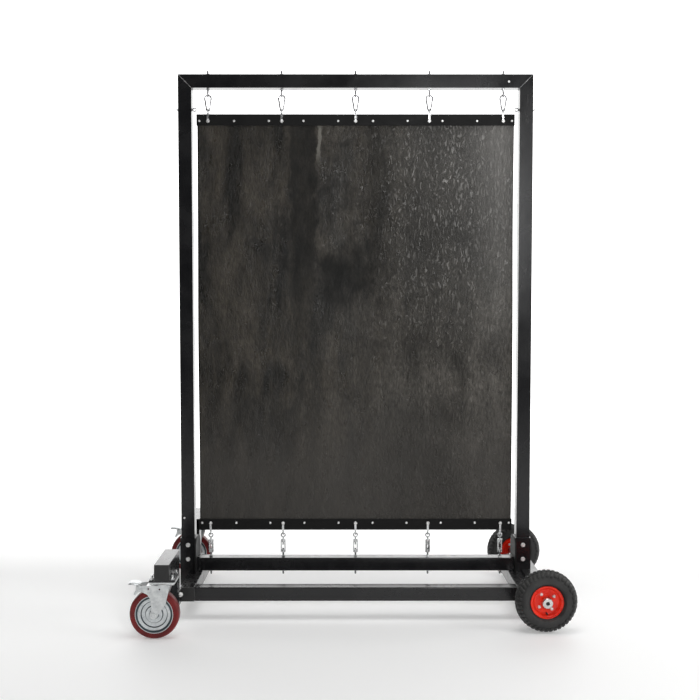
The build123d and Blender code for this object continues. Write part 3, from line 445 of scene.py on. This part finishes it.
# %% Give each rigid node its finish
BY_SLOT = {
    "black_paint": black_paint, "batten_paint": batten_paint, "cap_plastic": cap_plastic, "rim_red": rim_red,
    "race_red": race_red, "bright_zinc": bright_zinc, "dark_zinc": rod_zinc, "caster_zinc": caster_zinc,
    "hub_steel": hub_steel, "tyre_black": tyre_rubber, "red_urethane": red_urethane,
}
slot_of = {part["node"]: part["material_slot"] for part in frame["record"]["subparts"]}
for node_name, node_object in frame["nodes"].items():
    coat = BY_SLOT.get(slot_of[node_name])
    if coat:
        node_object.data.materials.clear()
        node_object.data.materials.append(coat)
frame["nodes"]["screw_eyes"].data.materials[0] = screw_zinc
frame["nodes"]["wheel_axle"].data.materials[0] = cap_plastic
frame["nodes"]["side_plates"].data.materials[0] = plate_paint
for hardware in ("carabiner_hooks", "top_eye_bolts", *[f"carabiner_gate_{n}" for n in range(1, 6)]):
    frame["nodes"][hardware].data.materials[0] = hook_steel
for fastener in ("batten_rivets", "batten_bolts", "frame_bolts"):
    frame["nodes"][fastener].data.materials[0] = head_zinc
for end in ("front", "rear"):
    frame["nodes"][f"{end}_wheel_core"].data.materials[0] = disc_zinc
print("dressed", len(slot_of))

# %% [markdown]
# ## The sheet
# The backdrop is a heavy, flexible sheet with a skin like oiled leather. Pulled from five points above and
# five below, it stays flat but keeps faint vertical ripples between the fixings and a soft wander near its
# free edges. A fine grid with a formula for that relief gives the light something to slide over, and a
# thickness makes it a real sheet.

# %% Sheet shape
SHEET_THICK = 0.0026
RIPPLE = 0.0016
EDGE_WANDER = 0.0022
COLUMNS, ROWS = 190, 240

sheet_low, sheet_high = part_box("backdrop_sheet")
sheet_wide, sheet_tall = sheet_high.x - sheet_low.x, sheet_high.z - sheet_low.z
batten_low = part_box("bottom_front_batten")[1].z
batten_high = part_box("top_front_batten")[0].z
HOOK_STEP = 0.33
BATTEN_FADE = 0.12


def sheet_relief(x, z):
    """How far the sheet stands off its flat plane; zero inside the battens."""
    from_low = max(0.0, min(1.0, (z - batten_low) / BATTEN_FADE))
    from_high = max(0.0, min(1.0, (batten_high - z) / BATTEN_FADE))
    inside = from_low * from_high
    pull = math.cos(2 * math.pi * x / HOOK_STEP) * (0.35 + 0.65 * abs(2 * (z - sheet_low.z) / sheet_tall - 1))
    slow = math.sin(5.1 * x + 1.7 * z) + 0.6 * math.sin(2.3 * z - 3.2 * x + 0.8)
    slow += 0.4 * math.sin(9.0 * x - 2.6 * z)
    edge = math.exp(-(sheet_high.x - abs(x)) / 0.05) * math.sin(7.5 * z + (1.0 if x > 0 else 2.3))
    return inside * (RIPPLE * (pull + slow) + EDGE_WANDER * edge)


def sheet_side(x, z):
    """The free side edges wander in by a millimetre or two."""
    reach = math.exp(-(sheet_high.x - abs(x)) / 0.03)
    return x - math.copysign(0.0012 * reach * (1 + math.sin(4.1 * z + 0.6 * math.copysign(1, x))), x)


sheet_points = []
for face_side in (-0.5, 0.5):
    for r in range(ROWS):
        z = sheet_low.z + sheet_tall * r / (ROWS - 1)
        for c in range(COLUMNS):
            x = sheet_low.x + sheet_wide * c / (COLUMNS - 1)
            sheet_points.append((sheet_side(x, z), sheet_relief(x, z) + face_side * SHEET_THICK, z))
front = grid_faces(ROWS, COLUMNS)
count = ROWS * COLUMNS
back = [tuple(count + i for i in reversed(face)) for face in front]
rim_loop = ([c for c in range(COLUMNS)] + [r * COLUMNS + COLUMNS - 1 for r in range(1, ROWS)]
            + [(ROWS - 1) * COLUMNS + c for c in range(COLUMNS - 2, -1, -1)]
            + [r * COLUMNS for r in range(ROWS - 2, 0, -1)])
sides = [(a, a + count, b + count, b) for a, b in zip(rim_loop, rim_loop[1:] + rim_loop[:1])]
sheet = mesh_object("backdrop", sheet_points, front + back + sides)
print("sheet", round(sheet_wide, 3), "by", round(sheet_tall, 3))

# %% [markdown]
# ## The sheet's skin
# The skin is dark, slightly glossy and far from even. It has upright clouds of wear, one near-black stripe
# and a stain beside it left of the middle, fine upright brush lines, and a crackle that swells right of the
# middle, where it catches the light, with painted shade darkening its valleys. The colour comes first: two
# mottled browns, drifting from dark at the left to grey at the right, partly the hide's own tone and partly
# painted light from the right, with a painted highlight, a pale sheen, at the upper right and a calm band low
# down. The stains are laid over them.

# %% Skin colour
skin = bpy.data.materials.new("oiled hide")
skin.use_nodes = True
tree = skin.node_tree
skin_shader = tree.nodes["Principled BSDF"]
skin_shader.inputs["Specular IOR Level"].default_value = 0.3
position = add_node(tree, "ShaderNodeTexCoord").outputs["Object"]
axes = add_node(tree, "ShaderNodeSeparateXYZ", i0=position)
across_x, up_z = axes.outputs["X"], axes.outputs["Z"]


def remap(value, low, high, to_low=0.0, to_high=1.0, kind="LINEAR"):
    """A value moved from one range to another, in the skin's tree."""
    return add_node(tree, "ShaderNodeMapRange", {"interpolation_type": kind}, Value=value, From_Min=low,
                    From_Max=high, To_Min=to_low, To_Max=to_high).outputs[0]


def compute(operation, a, b=0.0, c=0.0):
    """One arithmetic node in the skin's tree."""
    return add_node(tree, "ShaderNodeMath", {"operation": operation}, i0=a, i1=b, i2=c).outputs[0]


def noise_at(scale, stretch=(1, 1, 1), detail=4.0, rough=0.6, distortion=0.0):
    """Noise over the sheet, stretched along chosen axes."""
    moved = add_node(tree, "ShaderNodeVectorMath", {"operation": "MULTIPLY"}, i0=position, i1=stretch)
    return add_node(tree, "ShaderNodeTexNoise", Vector=moved.outputs[0], Scale=scale, Detail=detail,
                    Roughness=rough, Distortion=distortion).outputs["Fac"]


def mix_colour(mask, first, second, blend="MIX"):
    """Blend two colours in the skin's tree."""
    return add_node(tree, "ShaderNodeMix", {"data_type": "RGBA", "blend_type": blend}, i0=mask, i6=first,
                    i7=second).outputs[2]


# Partly painted light: the colour drifts from the dark clouds at the left to the paler rubbed tone at the
# right, partly the hide's own tone and partly light falling from the right.
drift = remap(across_x, -0.3, 0.55)
clouds = group_node(tree, mottle, Light=(0.060, 0.052, 0.041, 1), Dark=(0.009, 0.008, 0.006, 1), Scale=2.6,
                    Stretch=(2.6, 1.0, 0.8), Low=0.4, High=0.6)
rubbed_and_lit = group_node(tree, mottle, Light=(0.150, 0.140, 0.125, 1), Dark=(0.038, 0.035, 0.030, 1), Scale=3.4,
                    Stretch=(1.9, 1.0, 0.8), Low=0.38, High=0.66)
speckle = group_node(tree, mottle, Light=(1.0, 0.99, 0.97, 1), Dark=(0.42, 0.41, 0.40, 1), Scale=60.0,
                     Stretch=(1.6, 1, 0.6), Low=0.36, High=0.64)
base = mix_colour(drift, clouds.outputs["Colour"], rubbed_and_lit.outputs["Colour"])
grained = mix_colour(0.9, base, speckle.outputs["Colour"], "MULTIPLY")
# Painted highlight: a pale sheen mixed into the colour at the upper right, where the key light glints.
painted_sheen = compute("MULTIPLY", remap(across_x, 0.1, 0.66), remap(up_z, 1.1, 2.05, 0.0, 0.75))
grained = mix_colour(painted_sheen, grained, (0.24, 0.235, 0.225, 1))
calm = compute("MULTIPLY", remap(up_z, 1.0, 0.6), 0.75)
grained = mix_colour(calm, grained, (0.050, 0.046, 0.041, 1))

# %% Stripe and stain
STRIPE_X, STRIPE_HALF = -0.232, 0.058
STAIN_X, STAIN_Z, STAIN_R = -0.03, 1.52, 0.2
INK = (0.0015, 0.0016, 0.0012, 1)
wander = noise_at(3.2, (1, 1, 0.7), 5.0)
ragged = noise_at(9.0, (1.4, 1, 0.8), 6.0, 0.65)
stripe_x = compute("ADD", across_x, compute("MULTIPLY_ADD", ragged, 0.11, -STRIPE_X - 0.055))
stripe = remap(compute("ABSOLUTE", stripe_x), STRIPE_HALF * 0.75, STRIPE_HALF * 1.3, 1.0, 0.0, "SMOOTHSTEP")
stripe_worn = compute("MULTIPLY", stripe, remap(ragged, 0.3, 0.62, 1.0, 0.72))
stripe_long = compute("MULTIPLY", stripe_worn, remap(up_z, 0.85, 1.6, 0.0, 0.95))
stain_flat = add_node(tree, "ShaderNodeCombineXYZ", X=across_x, Z=up_z)
stain_far = add_node(tree, "ShaderNodeVectorMath", {"operation": "DISTANCE"}, i0=stain_flat.outputs[0],
                     i1=(STAIN_X, 0.0, STAIN_Z)).outputs["Value"]
stain_ragged = compute("ADD", stain_far, compute("MULTIPLY_ADD", wander, 0.5, -0.25))
stain = remap(compute("ADD", stain_ragged, compute("MULTIPLY_ADD", ragged, 0.3, -0.15)), STAIN_R * 0.25,
              STAIN_R * 1.15, 0.9, 0.0, "SMOOTHSTEP")
smears = remap(noise_at(4.4, (1.0, 1, 1.7), 7.0, 0.68, 0.8), 0.52, 0.64, 0.0, 0.8)
inner = compute("MULTIPLY", smears, remap(across_x, -0.35, 0.3, 1.0, 0.15))
inner = compute("MULTIPLY", inner, remap(up_z, 0.75, 1.1))
inner = compute("MULTIPLY", inner, remap(across_x, -0.5, -0.28, 0.12, 1.0))
ink = compute("MAXIMUM", compute("MAXIMUM", stripe_long, stain), inner)
inked = mix_colour(ink, grained, INK)

# %% Pale drips and flecks
DRIP_X, DRIP_HALF = -0.163, 0.011
PALE_GREY = (0.26, 0.25, 0.22, 1)
drip_sway = noise_at(7.0, (1, 1, 1.5))
drip_x = compute("ADD", across_x, compute("MULTIPLY_ADD", drip_sway, 0.05, -DRIP_X - 0.025))
drip_body = remap(compute("ABSOLUTE", drip_x), DRIP_HALF * 0.5, DRIP_HALF, 0.5, 0.0, "SMOOTHSTEP")
drip = compute("MULTIPLY", drip_body, remap(up_z, 1.98, 2.05))
fleck_cells = add_node(tree, "ShaderNodeTexVoronoi", Vector=position, Scale=21.0)
fleck = compute("MULTIPLY", remap(fleck_cells.outputs["Distance"], 0.05, 0.075, 1.0, 0.0),
                compute("MULTIPLY", stripe_long, remap(noise_at(5.0, detail=2.0), 0.5, 0.56)))
flecked = mix_colour(compute("MAXIMUM", drip, fleck), inked, PALE_GREY)

# %% [markdown]
# The relief is built as bumps laid over each other: a slow hand-like unevenness, upright brush lines, and the
# crackle. The crackle is folded noise, where the valleys are sharp and the ridges round, and a mask makes it
# strongest at the upper right.

# %% Skin relief
swell = compute("MULTIPLY", remap(across_x, -0.05, 0.36, 0.2, 1.0), remap(across_x, 0.46, 0.64, 1.0, 0.4))
crackle_where = compute("MULTIPLY", swell, remap(up_z, 0.7, 1.7, 0.4, 1.0))
folded = compute("ABSOLUTE", compute("SUBTRACT", noise_at(50.0, (1.7, 1, 0.6), 4.0, 0.6, 0.5), 0.5))
ridge = remap(folded, 0.0, 0.11, 0.0, 1.0, "SMOOTHSTEP")
crackle = compute("MULTIPLY", ridge, crackle_where)
# Painted shade: the colour darkens in the crackle's valleys, where shade falls between the ridges.
painted_crease_shade = compute("MULTIPLY", remap(folded, 0.0, 0.07, 0.6, 0.0), crackle_where)
crease_shaded = mix_colour(painted_crease_shade, flecked, (0.016, 0.015, 0.013, 1))
brushed = noise_at(130.0, (1.0, 1, 0.12), 3.0, 0.6)
slow = noise_at(9.0, (1.3, 1, 0.8), 3.0, 0.5)
bump_slow = add_node(tree, "ShaderNodeBump", Strength=0.75, Distance=0.010, Height=slow)
bump_crackle = add_node(tree, "ShaderNodeBump", Strength=1.0, Distance=0.0046, Height=crackle,
                        Normal=bump_slow.outputs[0])
bump_brush = add_node(tree, "ShaderNodeBump", Strength=0.5, Distance=0.0009, Height=brushed,
                      Normal=bump_crackle.outputs[0])
pebble = group_node(tree, relief, Cells=260.0, Noise=500.0, Mix=0.5)
bump_pebble = add_node(tree, "ShaderNodeBump", Strength=0.3, Distance=0.0006, Height=pebble.outputs[0],
                       Normal=bump_brush.outputs[0])
oiled = remap(noise_at(12.0, (1.5, 1, 0.7), 5.0), 0.35, 0.68, 0.24, 0.42)
skin_rough = compute("ADD", oiled, compute("MULTIPLY", ink, 0.34))
tree.links.new(crease_shaded, skin_shader.inputs["Base Color"])
tree.links.new(skin_rough, skin_shader.inputs["Roughness"])
tree.links.new(bump_pebble.outputs[0], skin_shader.inputs["Normal"])
sheet.data.materials.append(skin)
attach(sheet, "frame")
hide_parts("backdrop_sheet")


# %% [markdown]
# ## Turned parts
# Tyres, rims, bolt heads, valves and rivets are all turned shapes: a profile carried round an axis. The axis
# here is Y, because the wheels face the front. The other functions turn faces outward, round sharp edges and
# join pieces into one.

# %% Turning a profile
def around(centre, turn, radius, depth):
    """The point at a radius and turn about the Y axis through centre, moved along the axis by depth."""
    return Vector((centre.x + radius * math.cos(turn), centre.y + depth, centre.z + radius * math.sin(turn)))


def face_outward(made):
    """Turn every face outward."""
    fix = bmesh.new()
    fix.from_mesh(made.data)
    bmesh.ops.recalc_face_normals(fix, faces=fix.faces)
    fix.to_mesh(made.data)
    fix.free()
    return made


def turned(name, profile, centre, steps=96, closed=True):
    """Carry (radius, depth) points round a Y axis through centre."""
    points = []
    for step in range(steps):
        turn = 2 * math.pi * step / steps
        for radius, depth in profile:
            points.append(around(centre, turn, radius, depth))
    faces = grid_faces(steps, len(profile), wrap_rows=True, wrap_columns=closed)
    return face_outward(mesh_object(name, points, faces))


def soften(made, width, segments=2, angle=35):
    """Round the edges that are sharper than the angle, and keep the result as mesh."""
    rounding = made.modifiers.new("round", "BEVEL")
    rounding.width = width
    rounding.segments = segments
    rounding.limit_method = "ANGLE"
    rounding.angle_limit = math.radians(angle)
    bpy.context.view_layer.objects.active = made
    with bpy.context.temp_override(object=made, active_object=made, selected_objects=[made]):
        bpy.ops.object.modifier_apply(modifier=rounding.name)
    for polygon in made.data.polygons:
        polygon.use_smooth = True
    return made


def join(name, parts):
    """One object from several."""
    with bpy.context.temp_override(object=parts[0], active_object=parts[0], selected_objects=parts,
                                   selected_editable_objects=parts):
        bpy.ops.object.join()
    parts[0].name = name
    return parts[0]


# %% [markdown]
# ## Tyres
# Each tyre is a fat carcass with a chunky tread: two rows of shoulder lugs that break the outline, and a row
# of small centre blocks. The lugs are separate blocks that follow the tyre's curve, slightly sunk into the
# carcass, and every other lug is shorter.

# %% Tyre carcass and lugs
TYRE_SKIN = 0.0028
CARCASS_STEPS = 16
CARCASS_FROM, CARCASS_SWEEP = math.radians(-18), math.radians(216)
LUGS = 40
LUG_ROOT, LUG_TAPER = -0.004, 0.82
SHOULDER_AT, SHOULDER_LONG, SHOULDER_LEAN = 0.0285, 0.0145, 0.25
SHOULDER_WIDE = (0.019, 0.024)
CENTRE_AT, CENTRE_LONG, CENTRE_WIDE, CENTRE_LEAN = 0.0085, 0.013, 0.013, -0.5
TREAD_HALF, TREAD_DROP, TREAD_POWER = 0.042, 0.019, 2.4


def tyre_profile(radius, half, rim):
    """The carcass from bead to bead, as (radius, depth)."""
    points = [(rim - 0.002, half * 0.5), (rim + 0.004, half * 0.6), (rim + 0.013, half * 0.84)]
    centre_r = radius - half * 0.92
    for step in range(CARCASS_STEPS + 1):
        turn = CARCASS_FROM + CARCASS_SWEEP * step / CARCASS_STEPS
        across = math.cos(turn)
        out = math.sin(turn)
        points.append((centre_r + half * 0.92 * max(out, -0.3), half * 0.97 * across))
    points += [(rim + 0.013, -half * 0.84), (rim + 0.004, -half * 0.6), (rim - 0.002, -half * 0.5)]
    return points


def lug(centre, turn, across, width, length, high, radius, lean):
    """One tread block: eight corners that sit on the carcass at an angle across it."""
    corners = []
    for level in (LUG_ROOT, high):
        for along, side in ((-1, -1), (1, -1), (1, 1), (-1, 1)):
            shrink = LUG_TAPER if level > 0 else 1.0
            a = across + side * width / 2 * shrink
            t = turn + (along * length / 2 * shrink + lean * side * width / 2) / radius
            drop = (abs(a) / TREAD_HALF) ** TREAD_POWER * TREAD_DROP
            corners.append(around(centre, t, radius - drop + level, a))
    faces = [(0, 1, 2, 3), (7, 6, 5, 4), (0, 4, 5, 1), (1, 5, 6, 2), (2, 6, 7, 3), (3, 7, 4, 0)]
    return corners, faces


def make_tyre(end):
    """Carcass and tread of one tyre, riding on its wheel."""
    low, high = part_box(f"{end}_tyre")
    centre = (low + high) / 2
    radius, half = (high.x - low.x) / 2, (high.y - low.y) / 2
    outline = tyre_profile(radius - TYRE_SKIN, half, RIM_EDGE)
    carcass = turned(f"{end}_carcass", outline, centre, closed=False)
    points, faces = [], []
    for n in range(LUGS):
        turn = 2 * math.pi * n / LUGS
        for side in (-1, 1):
            offset = turn + (0.5 if side > 0 else 0.0) * 2 * math.pi / LUGS
            shoulder = (SHOULDER_AT, SHOULDER_WIDE[n % 2], SHOULDER_LONG, SHOULDER_LEAN)
            middle = (CENTRE_AT, CENTRE_WIDE, CENTRE_LONG, CENTRE_LEAN)
            for across, width, length, lean in (shoulder, middle):
                corner_points, corner_faces = lug(centre, offset, side * across, width, length, TYRE_SKIN,
                                                  radius - TYRE_SKIN, side * lean)
                faces += [tuple(i + len(points) for i in face) for face in corner_faces]
                points += corner_points
    tread = face_outward(mesh_object(f"{end}_lugs", points, faces, smooth=False))
    soften(tread, 0.0009, 1)
    for piece in (carcass, tread):
        piece.data.materials.append(tyre_rubber)
    tyre = join(f"{end}_tyre_treaded", [carcass, tread])
    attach(tyre, f"{end}_wheel")
    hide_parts(f"{end}_tyre")
    return tyre


# %% [markdown]
# ## Rims
# The rim is two pressed dishes back to back. It has a rolled lip that holds the tyre's bead, a deep bowl, a
# raised ring with four bolts, and a collar round the hub. Both faces are the same, so the profile is
# mirrored. Each bolt shows as a washer with a domed head, and a short valve stem stands in the bowl.

# %% Rim, bolt heads and valve
RIM_EDGE = 0.064
RIM_FACE = ((0.0645, 0.0285), (0.0665, 0.0312), (0.0690, 0.0305), (0.0688, 0.0275), (0.0655, 0.0255),
            (0.0615, 0.0275), (0.0585, 0.0245),
            (0.0545, 0.0185), (0.0525, 0.0125), (0.0485, 0.0112), (0.0415, 0.0145), (0.0355, 0.0145),
            (0.0300, 0.0115), (0.0262, 0.0125), (0.0238, 0.0178), (0.0219, 0.0185))
RIM_BOLTS, RIM_BOLT_CIRCLE, RIM_BOLT_SEAT = 4, 0.0375, 0.0143
RIM_BOLT_START = math.radians(36)
HEAD_R, HEAD_HIGH = 0.0052, 0.005
WASHER_R, WASHER_THICK = HEAD_R * 1.35, 0.0012
AXIS_GAP = 0.0008
VALVE = ((0.0035, 0.018), (0.0035, 0.004), (0.0028, 0.003), (0.0028, -0.006), (0.001, -0.0065))
VALVE_AT = (0.0, -0.03, -0.048)


def bolt_head(name, centre, outward):
    """A washer and a domed head that face along Y."""
    profile = [(WASHER_R, 0), (WASHER_R, WASHER_THICK), (HEAD_R, WASHER_THICK), (HEAD_R, HEAD_HIGH * 0.8),
               (HEAD_R * 0.8, HEAD_HIGH), (AXIS_GAP, HEAD_HIGH + 0.0006)]
    flipped = [(r, outward * d) for r, d in profile]
    return turned(name, flipped, centre, steps=12, closed=False)


def make_rim(end):
    """Pressed rim with its bolt heads on the front and back faces, and a valve."""
    low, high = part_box(f"{end}_rim")
    centre = (low + high) / 2
    outline = [*RIM_FACE, *[(r, -d) for r, d in reversed(RIM_FACE)]]
    rim = turned(f"{end}_rim_pressed", outline, centre)
    rim.data.materials.append(rim_red)
    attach(rim, f"{end}_wheel")
    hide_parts(f"{end}_rim")
    heads = []
    for side in (-1, 1):
        for n in range(RIM_BOLTS):
            turn = RIM_BOLT_START + n * 2 * math.pi / RIM_BOLTS
            spot = around(centre, turn, RIM_BOLT_CIRCLE, side * RIM_BOLT_SEAT)
            heads.append(bolt_head(f"{end}_bolt_{side}_{n}", spot, side))
    bolts = join(f"{end}_rim_bolts", heads)
    bolts.data.materials.append(head_zinc)
    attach(bolts, f"{end}_wheel")
    stem = turned(f"{end}_valve", VALVE, centre + Vector(VALVE_AT), steps=20, closed=False)
    stem.data.materials.append(tyre_rubber)
    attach(stem, f"{end}_wheel")


for wheel_end in ("front", "rear"):
    make_tyre(wheel_end)
    make_rim(wheel_end)
    print("wheel", wheel_end)

# %% [markdown]
# ## Brake pedals
# The pedal is a pressed tongue that rocks on a rivet through both cheeks of the fork. Its inner end is a bent
# shoe that bites on the tread. The tongue is a strip whose height and width change along it, given thickness.
# The shoe and the two ears are one bent outline each. The rivet is turned, like the wheels.

# %% Pedal shape
PEDAL_STEPS = 16
PEDAL_PLATE = 0.0028
PEDAL_INSET = 0.012
PEDAL_ROOT = 0.004
PEDAL_SECTION = ((-1.0, -0.0042), (-0.95, -0.0006), (-0.5, 0.0), (0.0, 0.0), (0.5, 0.0), (0.95, -0.0006),
                 (1.0, -0.0042))
GRIP_FROM, GRIP_TO, GRIP_HIGH = 0.5, 0.95, 0.0010
TIP_FROM, TIP_NARROW = 0.82, 0.22
EAR_OUT, EAR_IN = 0.0002, 0.0042
PEDAL_BEND = ((0.0, -0.0085), (0.12, -0.0055), (0.3, -0.002), (0.6, 0.0), (0.85, 0.0006), (1.0, -0.0012))
RIVET_FROM_TIP = 0.042
RIVET_FROM_TOP = 0.0225
SHOE = ((0.011, 0.005), (0.001, -0.009), (-0.010, -0.0205), (-0.0175, -0.0275), (-0.0205, -0.0255),
        (-0.0235, -0.0235), (-0.018, -0.012), (-0.0125, -0.003), (-0.0138, 0.010), (-0.003, 0.0155))
SHOE_HEEL = (-0.0145, -0.0150)


def bend_at(share):
    """Height of the tongue along its length, from the list of bend points."""
    for (s0, h0), (s1, h1) in zip(PEDAL_BEND, PEDAL_BEND[1:]):
        if share <= s1:
            return h0 + (h1 - h0) * (share - s0) / (s1 - s0)
    return PEDAL_BEND[-1][1]


def plate_from_outline(name, outline, y_low, y_high):
    """A flat plate across Y from an outline of (x, z) points."""
    points = [(x, y, z) for y in (y_low, y_high) for x, z in outline]
    n = len(outline)
    faces = [tuple(range(n)), tuple(range(2 * n - 1, n - 1, -1))]
    faces += [(i, n + i, n + (i + 1) % n, (i + 1) % n) for i in range(n)]
    return soften(mesh_object(name, points, faces, smooth=False), 0.0005, 1)


# %% Make the pedals
def make_pedal(end):
    """Pressed tongue, shoe, ears and rivet of one brake."""
    low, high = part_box(f"{end}_brake_pedal")
    cheek_low, cheek_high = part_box(f"{end}_fork")
    centre_y = (low.y + high.y) / 2
    half = (cheek_high.y - cheek_low.y) / 2 - PEDAL_INSET
    rivet = Vector((low.x + RIVET_FROM_TIP, centre_y, high.z - RIVET_FROM_TOP))
    root_x = rivet.x + PEDAL_ROOT
    points = []
    for step in range(PEDAL_STEPS + 1):
        share = step / PEDAL_STEPS
        x = root_x + share * (low.x - root_x)
        z = high.z - PEDAL_PLATE + bend_at(share)
        near_tip = max(0.0, share - TIP_FROM) / (1 - TIP_FROM)
        wide = half * (0.8 + 0.2 * min(1.0, share * 2)) * (1 - TIP_NARROW * near_tip ** 2)
        ridge = GRIP_HIGH if step % 2 and GRIP_FROM < share < GRIP_TO else 0.0
        for across, drop in PEDAL_SECTION:
            points.append((x, centre_y + across * wide, z + drop + (ridge if drop == 0.0 else 0.0)))
    tongue = mesh_object(f"{end}_tongue", points, grid_faces(PEDAL_STEPS + 1, len(PEDAL_SECTION)))
    shell = tongue.modifiers.new("plate", "SOLIDIFY")
    shell.thickness = PEDAL_PLATE
    shell.offset = 1
    with bpy.context.temp_override(object=tongue, active_object=tongue, selected_objects=[tongue]):
        bpy.ops.object.modifier_apply(modifier=shell.name)
    outline = [(rivet.x + px, rivet.z + pz) for px, pz in SHOE]
    parts = [tongue]
    for side in (-1, 1):
        ear = sorted((centre_y + side * (half - EAR_OUT), centre_y + side * (half - EAR_IN)))
        parts.append(plate_from_outline(f"{end}_ear_{side}", outline, *ear))
    shoe_outline = outline[2:6] + [(rivet.x + SHOE_HEEL[0], rivet.z + SHOE_HEEL[1])]
    shoe_half = half * 0.9
    parts.append(plate_from_outline(f"{end}_shoe", shoe_outline, centre_y - shoe_half, centre_y + shoe_half))
    reach = (high.y - low.y) / 2
    pin = [(AXIS_GAP, reach), (0.0030, reach - 0.0002), (0.0038, reach - 0.0012), (0.0038, -reach + 0.0012),
           (0.0030, -reach + 0.0002), (AXIS_GAP, -reach)]
    parts.append(turned(f"{end}_rivet", pin, rivet, steps=20, closed=False))
    pedal = join(f"{end}_pedal", parts)
    pedal.data.materials.append(caster_zinc)
    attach(pedal, f"{end}_brake")
    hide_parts(f"{end}_brake_pedal")


for caster_end in ("front", "rear"):
    make_pedal(caster_end)

# %% [markdown]
# ## Welds
# The base is welded, and a weld is a row of small overlapping scales. Each bead is a chain of flattened
# rings carried along a line, with a height that rises and falls at each scale.

# %% Weld beads
BEAD_R = 0.0032
BEAD_STEP = 0.0042
BEAD_SIDES = 8
BEAD_ENDS = 0.02
SCALE_SWELL = (1.0, 0.82, 0.92)
END_GAP, SOCKET_GAP = 0.004, 0.006
PLATE_MIDDLE = 0.006


def weld(name, start, end, seed, thick=BEAD_R):
    """A rippled bead from start to end."""
    draw = random.Random(seed)
    start, end = Vector(start), Vector(end)
    along = end - start
    scales = max(3, int(along.length / BEAD_STEP))
    frame_turn = along.to_track_quat("Z", "Y").to_matrix()
    rows = scales * len(SCALE_SWELL) + 1
    points = []
    for step in range(rows):
        share = step / (rows - 1)
        puffed = SCALE_SWELL[step % len(SCALE_SWELL)] * (0.9 + 0.2 * draw.random())
        puffed *= min(1.0, 0.25 + 6 * min(share, 1 - share) * along.length / BEAD_ENDS)
        for n in range(BEAD_SIDES):
            turn = 2 * math.pi * n / BEAD_SIDES
            points.append(start + along * share + frame_turn @ Vector((math.cos(turn), math.sin(turn), 0))
                          * (thick * puffed))
    faces = grid_faces(rows, BEAD_SIDES, wrap_columns=True)
    faces += [tuple(reversed(range(BEAD_SIDES))), tuple(range((rows - 1) * BEAD_SIDES, rows * BEAD_SIDES))]
    return mesh_object(name, points, faces)


base_low, base_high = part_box("front_rail")
rear_low, rear_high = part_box("rear_rail")
left_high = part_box("left_cross_member")[1]
plate_name = "side_plates"
seams = []
for side in (-1, 1):
    inner = side * base_high.x
    for rail_low, rail_high in ((base_low, base_high), (rear_low, rear_high)):
        for y in (rail_low.y, rail_high.y):
            seams.append(((inner, y, rail_low.z + END_GAP), (inner, y, rail_high.z - END_GAP)))
        top = rail_high.z
        seams.append(((inner, rail_low.y + END_GAP, top), (inner, rail_high.y - END_GAP, top)))
    plate_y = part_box(plate_name)[1].y
    plate_x = side * (abs(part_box(plate_name)[0].x) - PLATE_MIDDLE)
    seams.append(((plate_x, -plate_y + END_GAP, left_high.z), (plate_x, plate_y - END_GAP, left_high.z)))
    socket_low, socket_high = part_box("left_socket" if side < 0 else "right_socket")
    plate_face = side * abs(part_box(plate_name)[0].x)
    for y in (socket_low.y, socket_high.y):
        seams.append(((plate_face, y, left_high.z + SOCKET_GAP), (plate_face, y, socket_high.z - SOCKET_GAP)))
beads = [weld(f"bead_{n}", a, b, n) for n, (a, b) in enumerate(seams)]
welds = join("weld_beads", beads)
welds.data.materials.append(weld_metal)
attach(welds, "frame")
print("welds", len(seams))

# %% [markdown]
# The goalpost's two mitred corners were welded and then ground back, so they show as thin bright diagonals.

# %% Ground mitre welds
MITRE_R = 0.0013
MITRE_SEED = 40
beam_low, beam_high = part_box("top_beam")
mitres = []
for side in (-1, 1):
    for y in (beam_low.y, beam_high.y):
        corner = (side * beam_high.x, y, beam_high.z)
        inner = (side * (beam_high.x - (beam_high.z - beam_low.z)), y, beam_low.z)
        mitres.append(weld(f"mitre_{side}_{y > 0}", inner, corner, MITRE_SEED + len(mitres), MITRE_R))
ground = join("mitre_welds", mitres)
ground.data.materials.append(ground_weld)
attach(ground, "frame")
print("mitres", len(mitres))
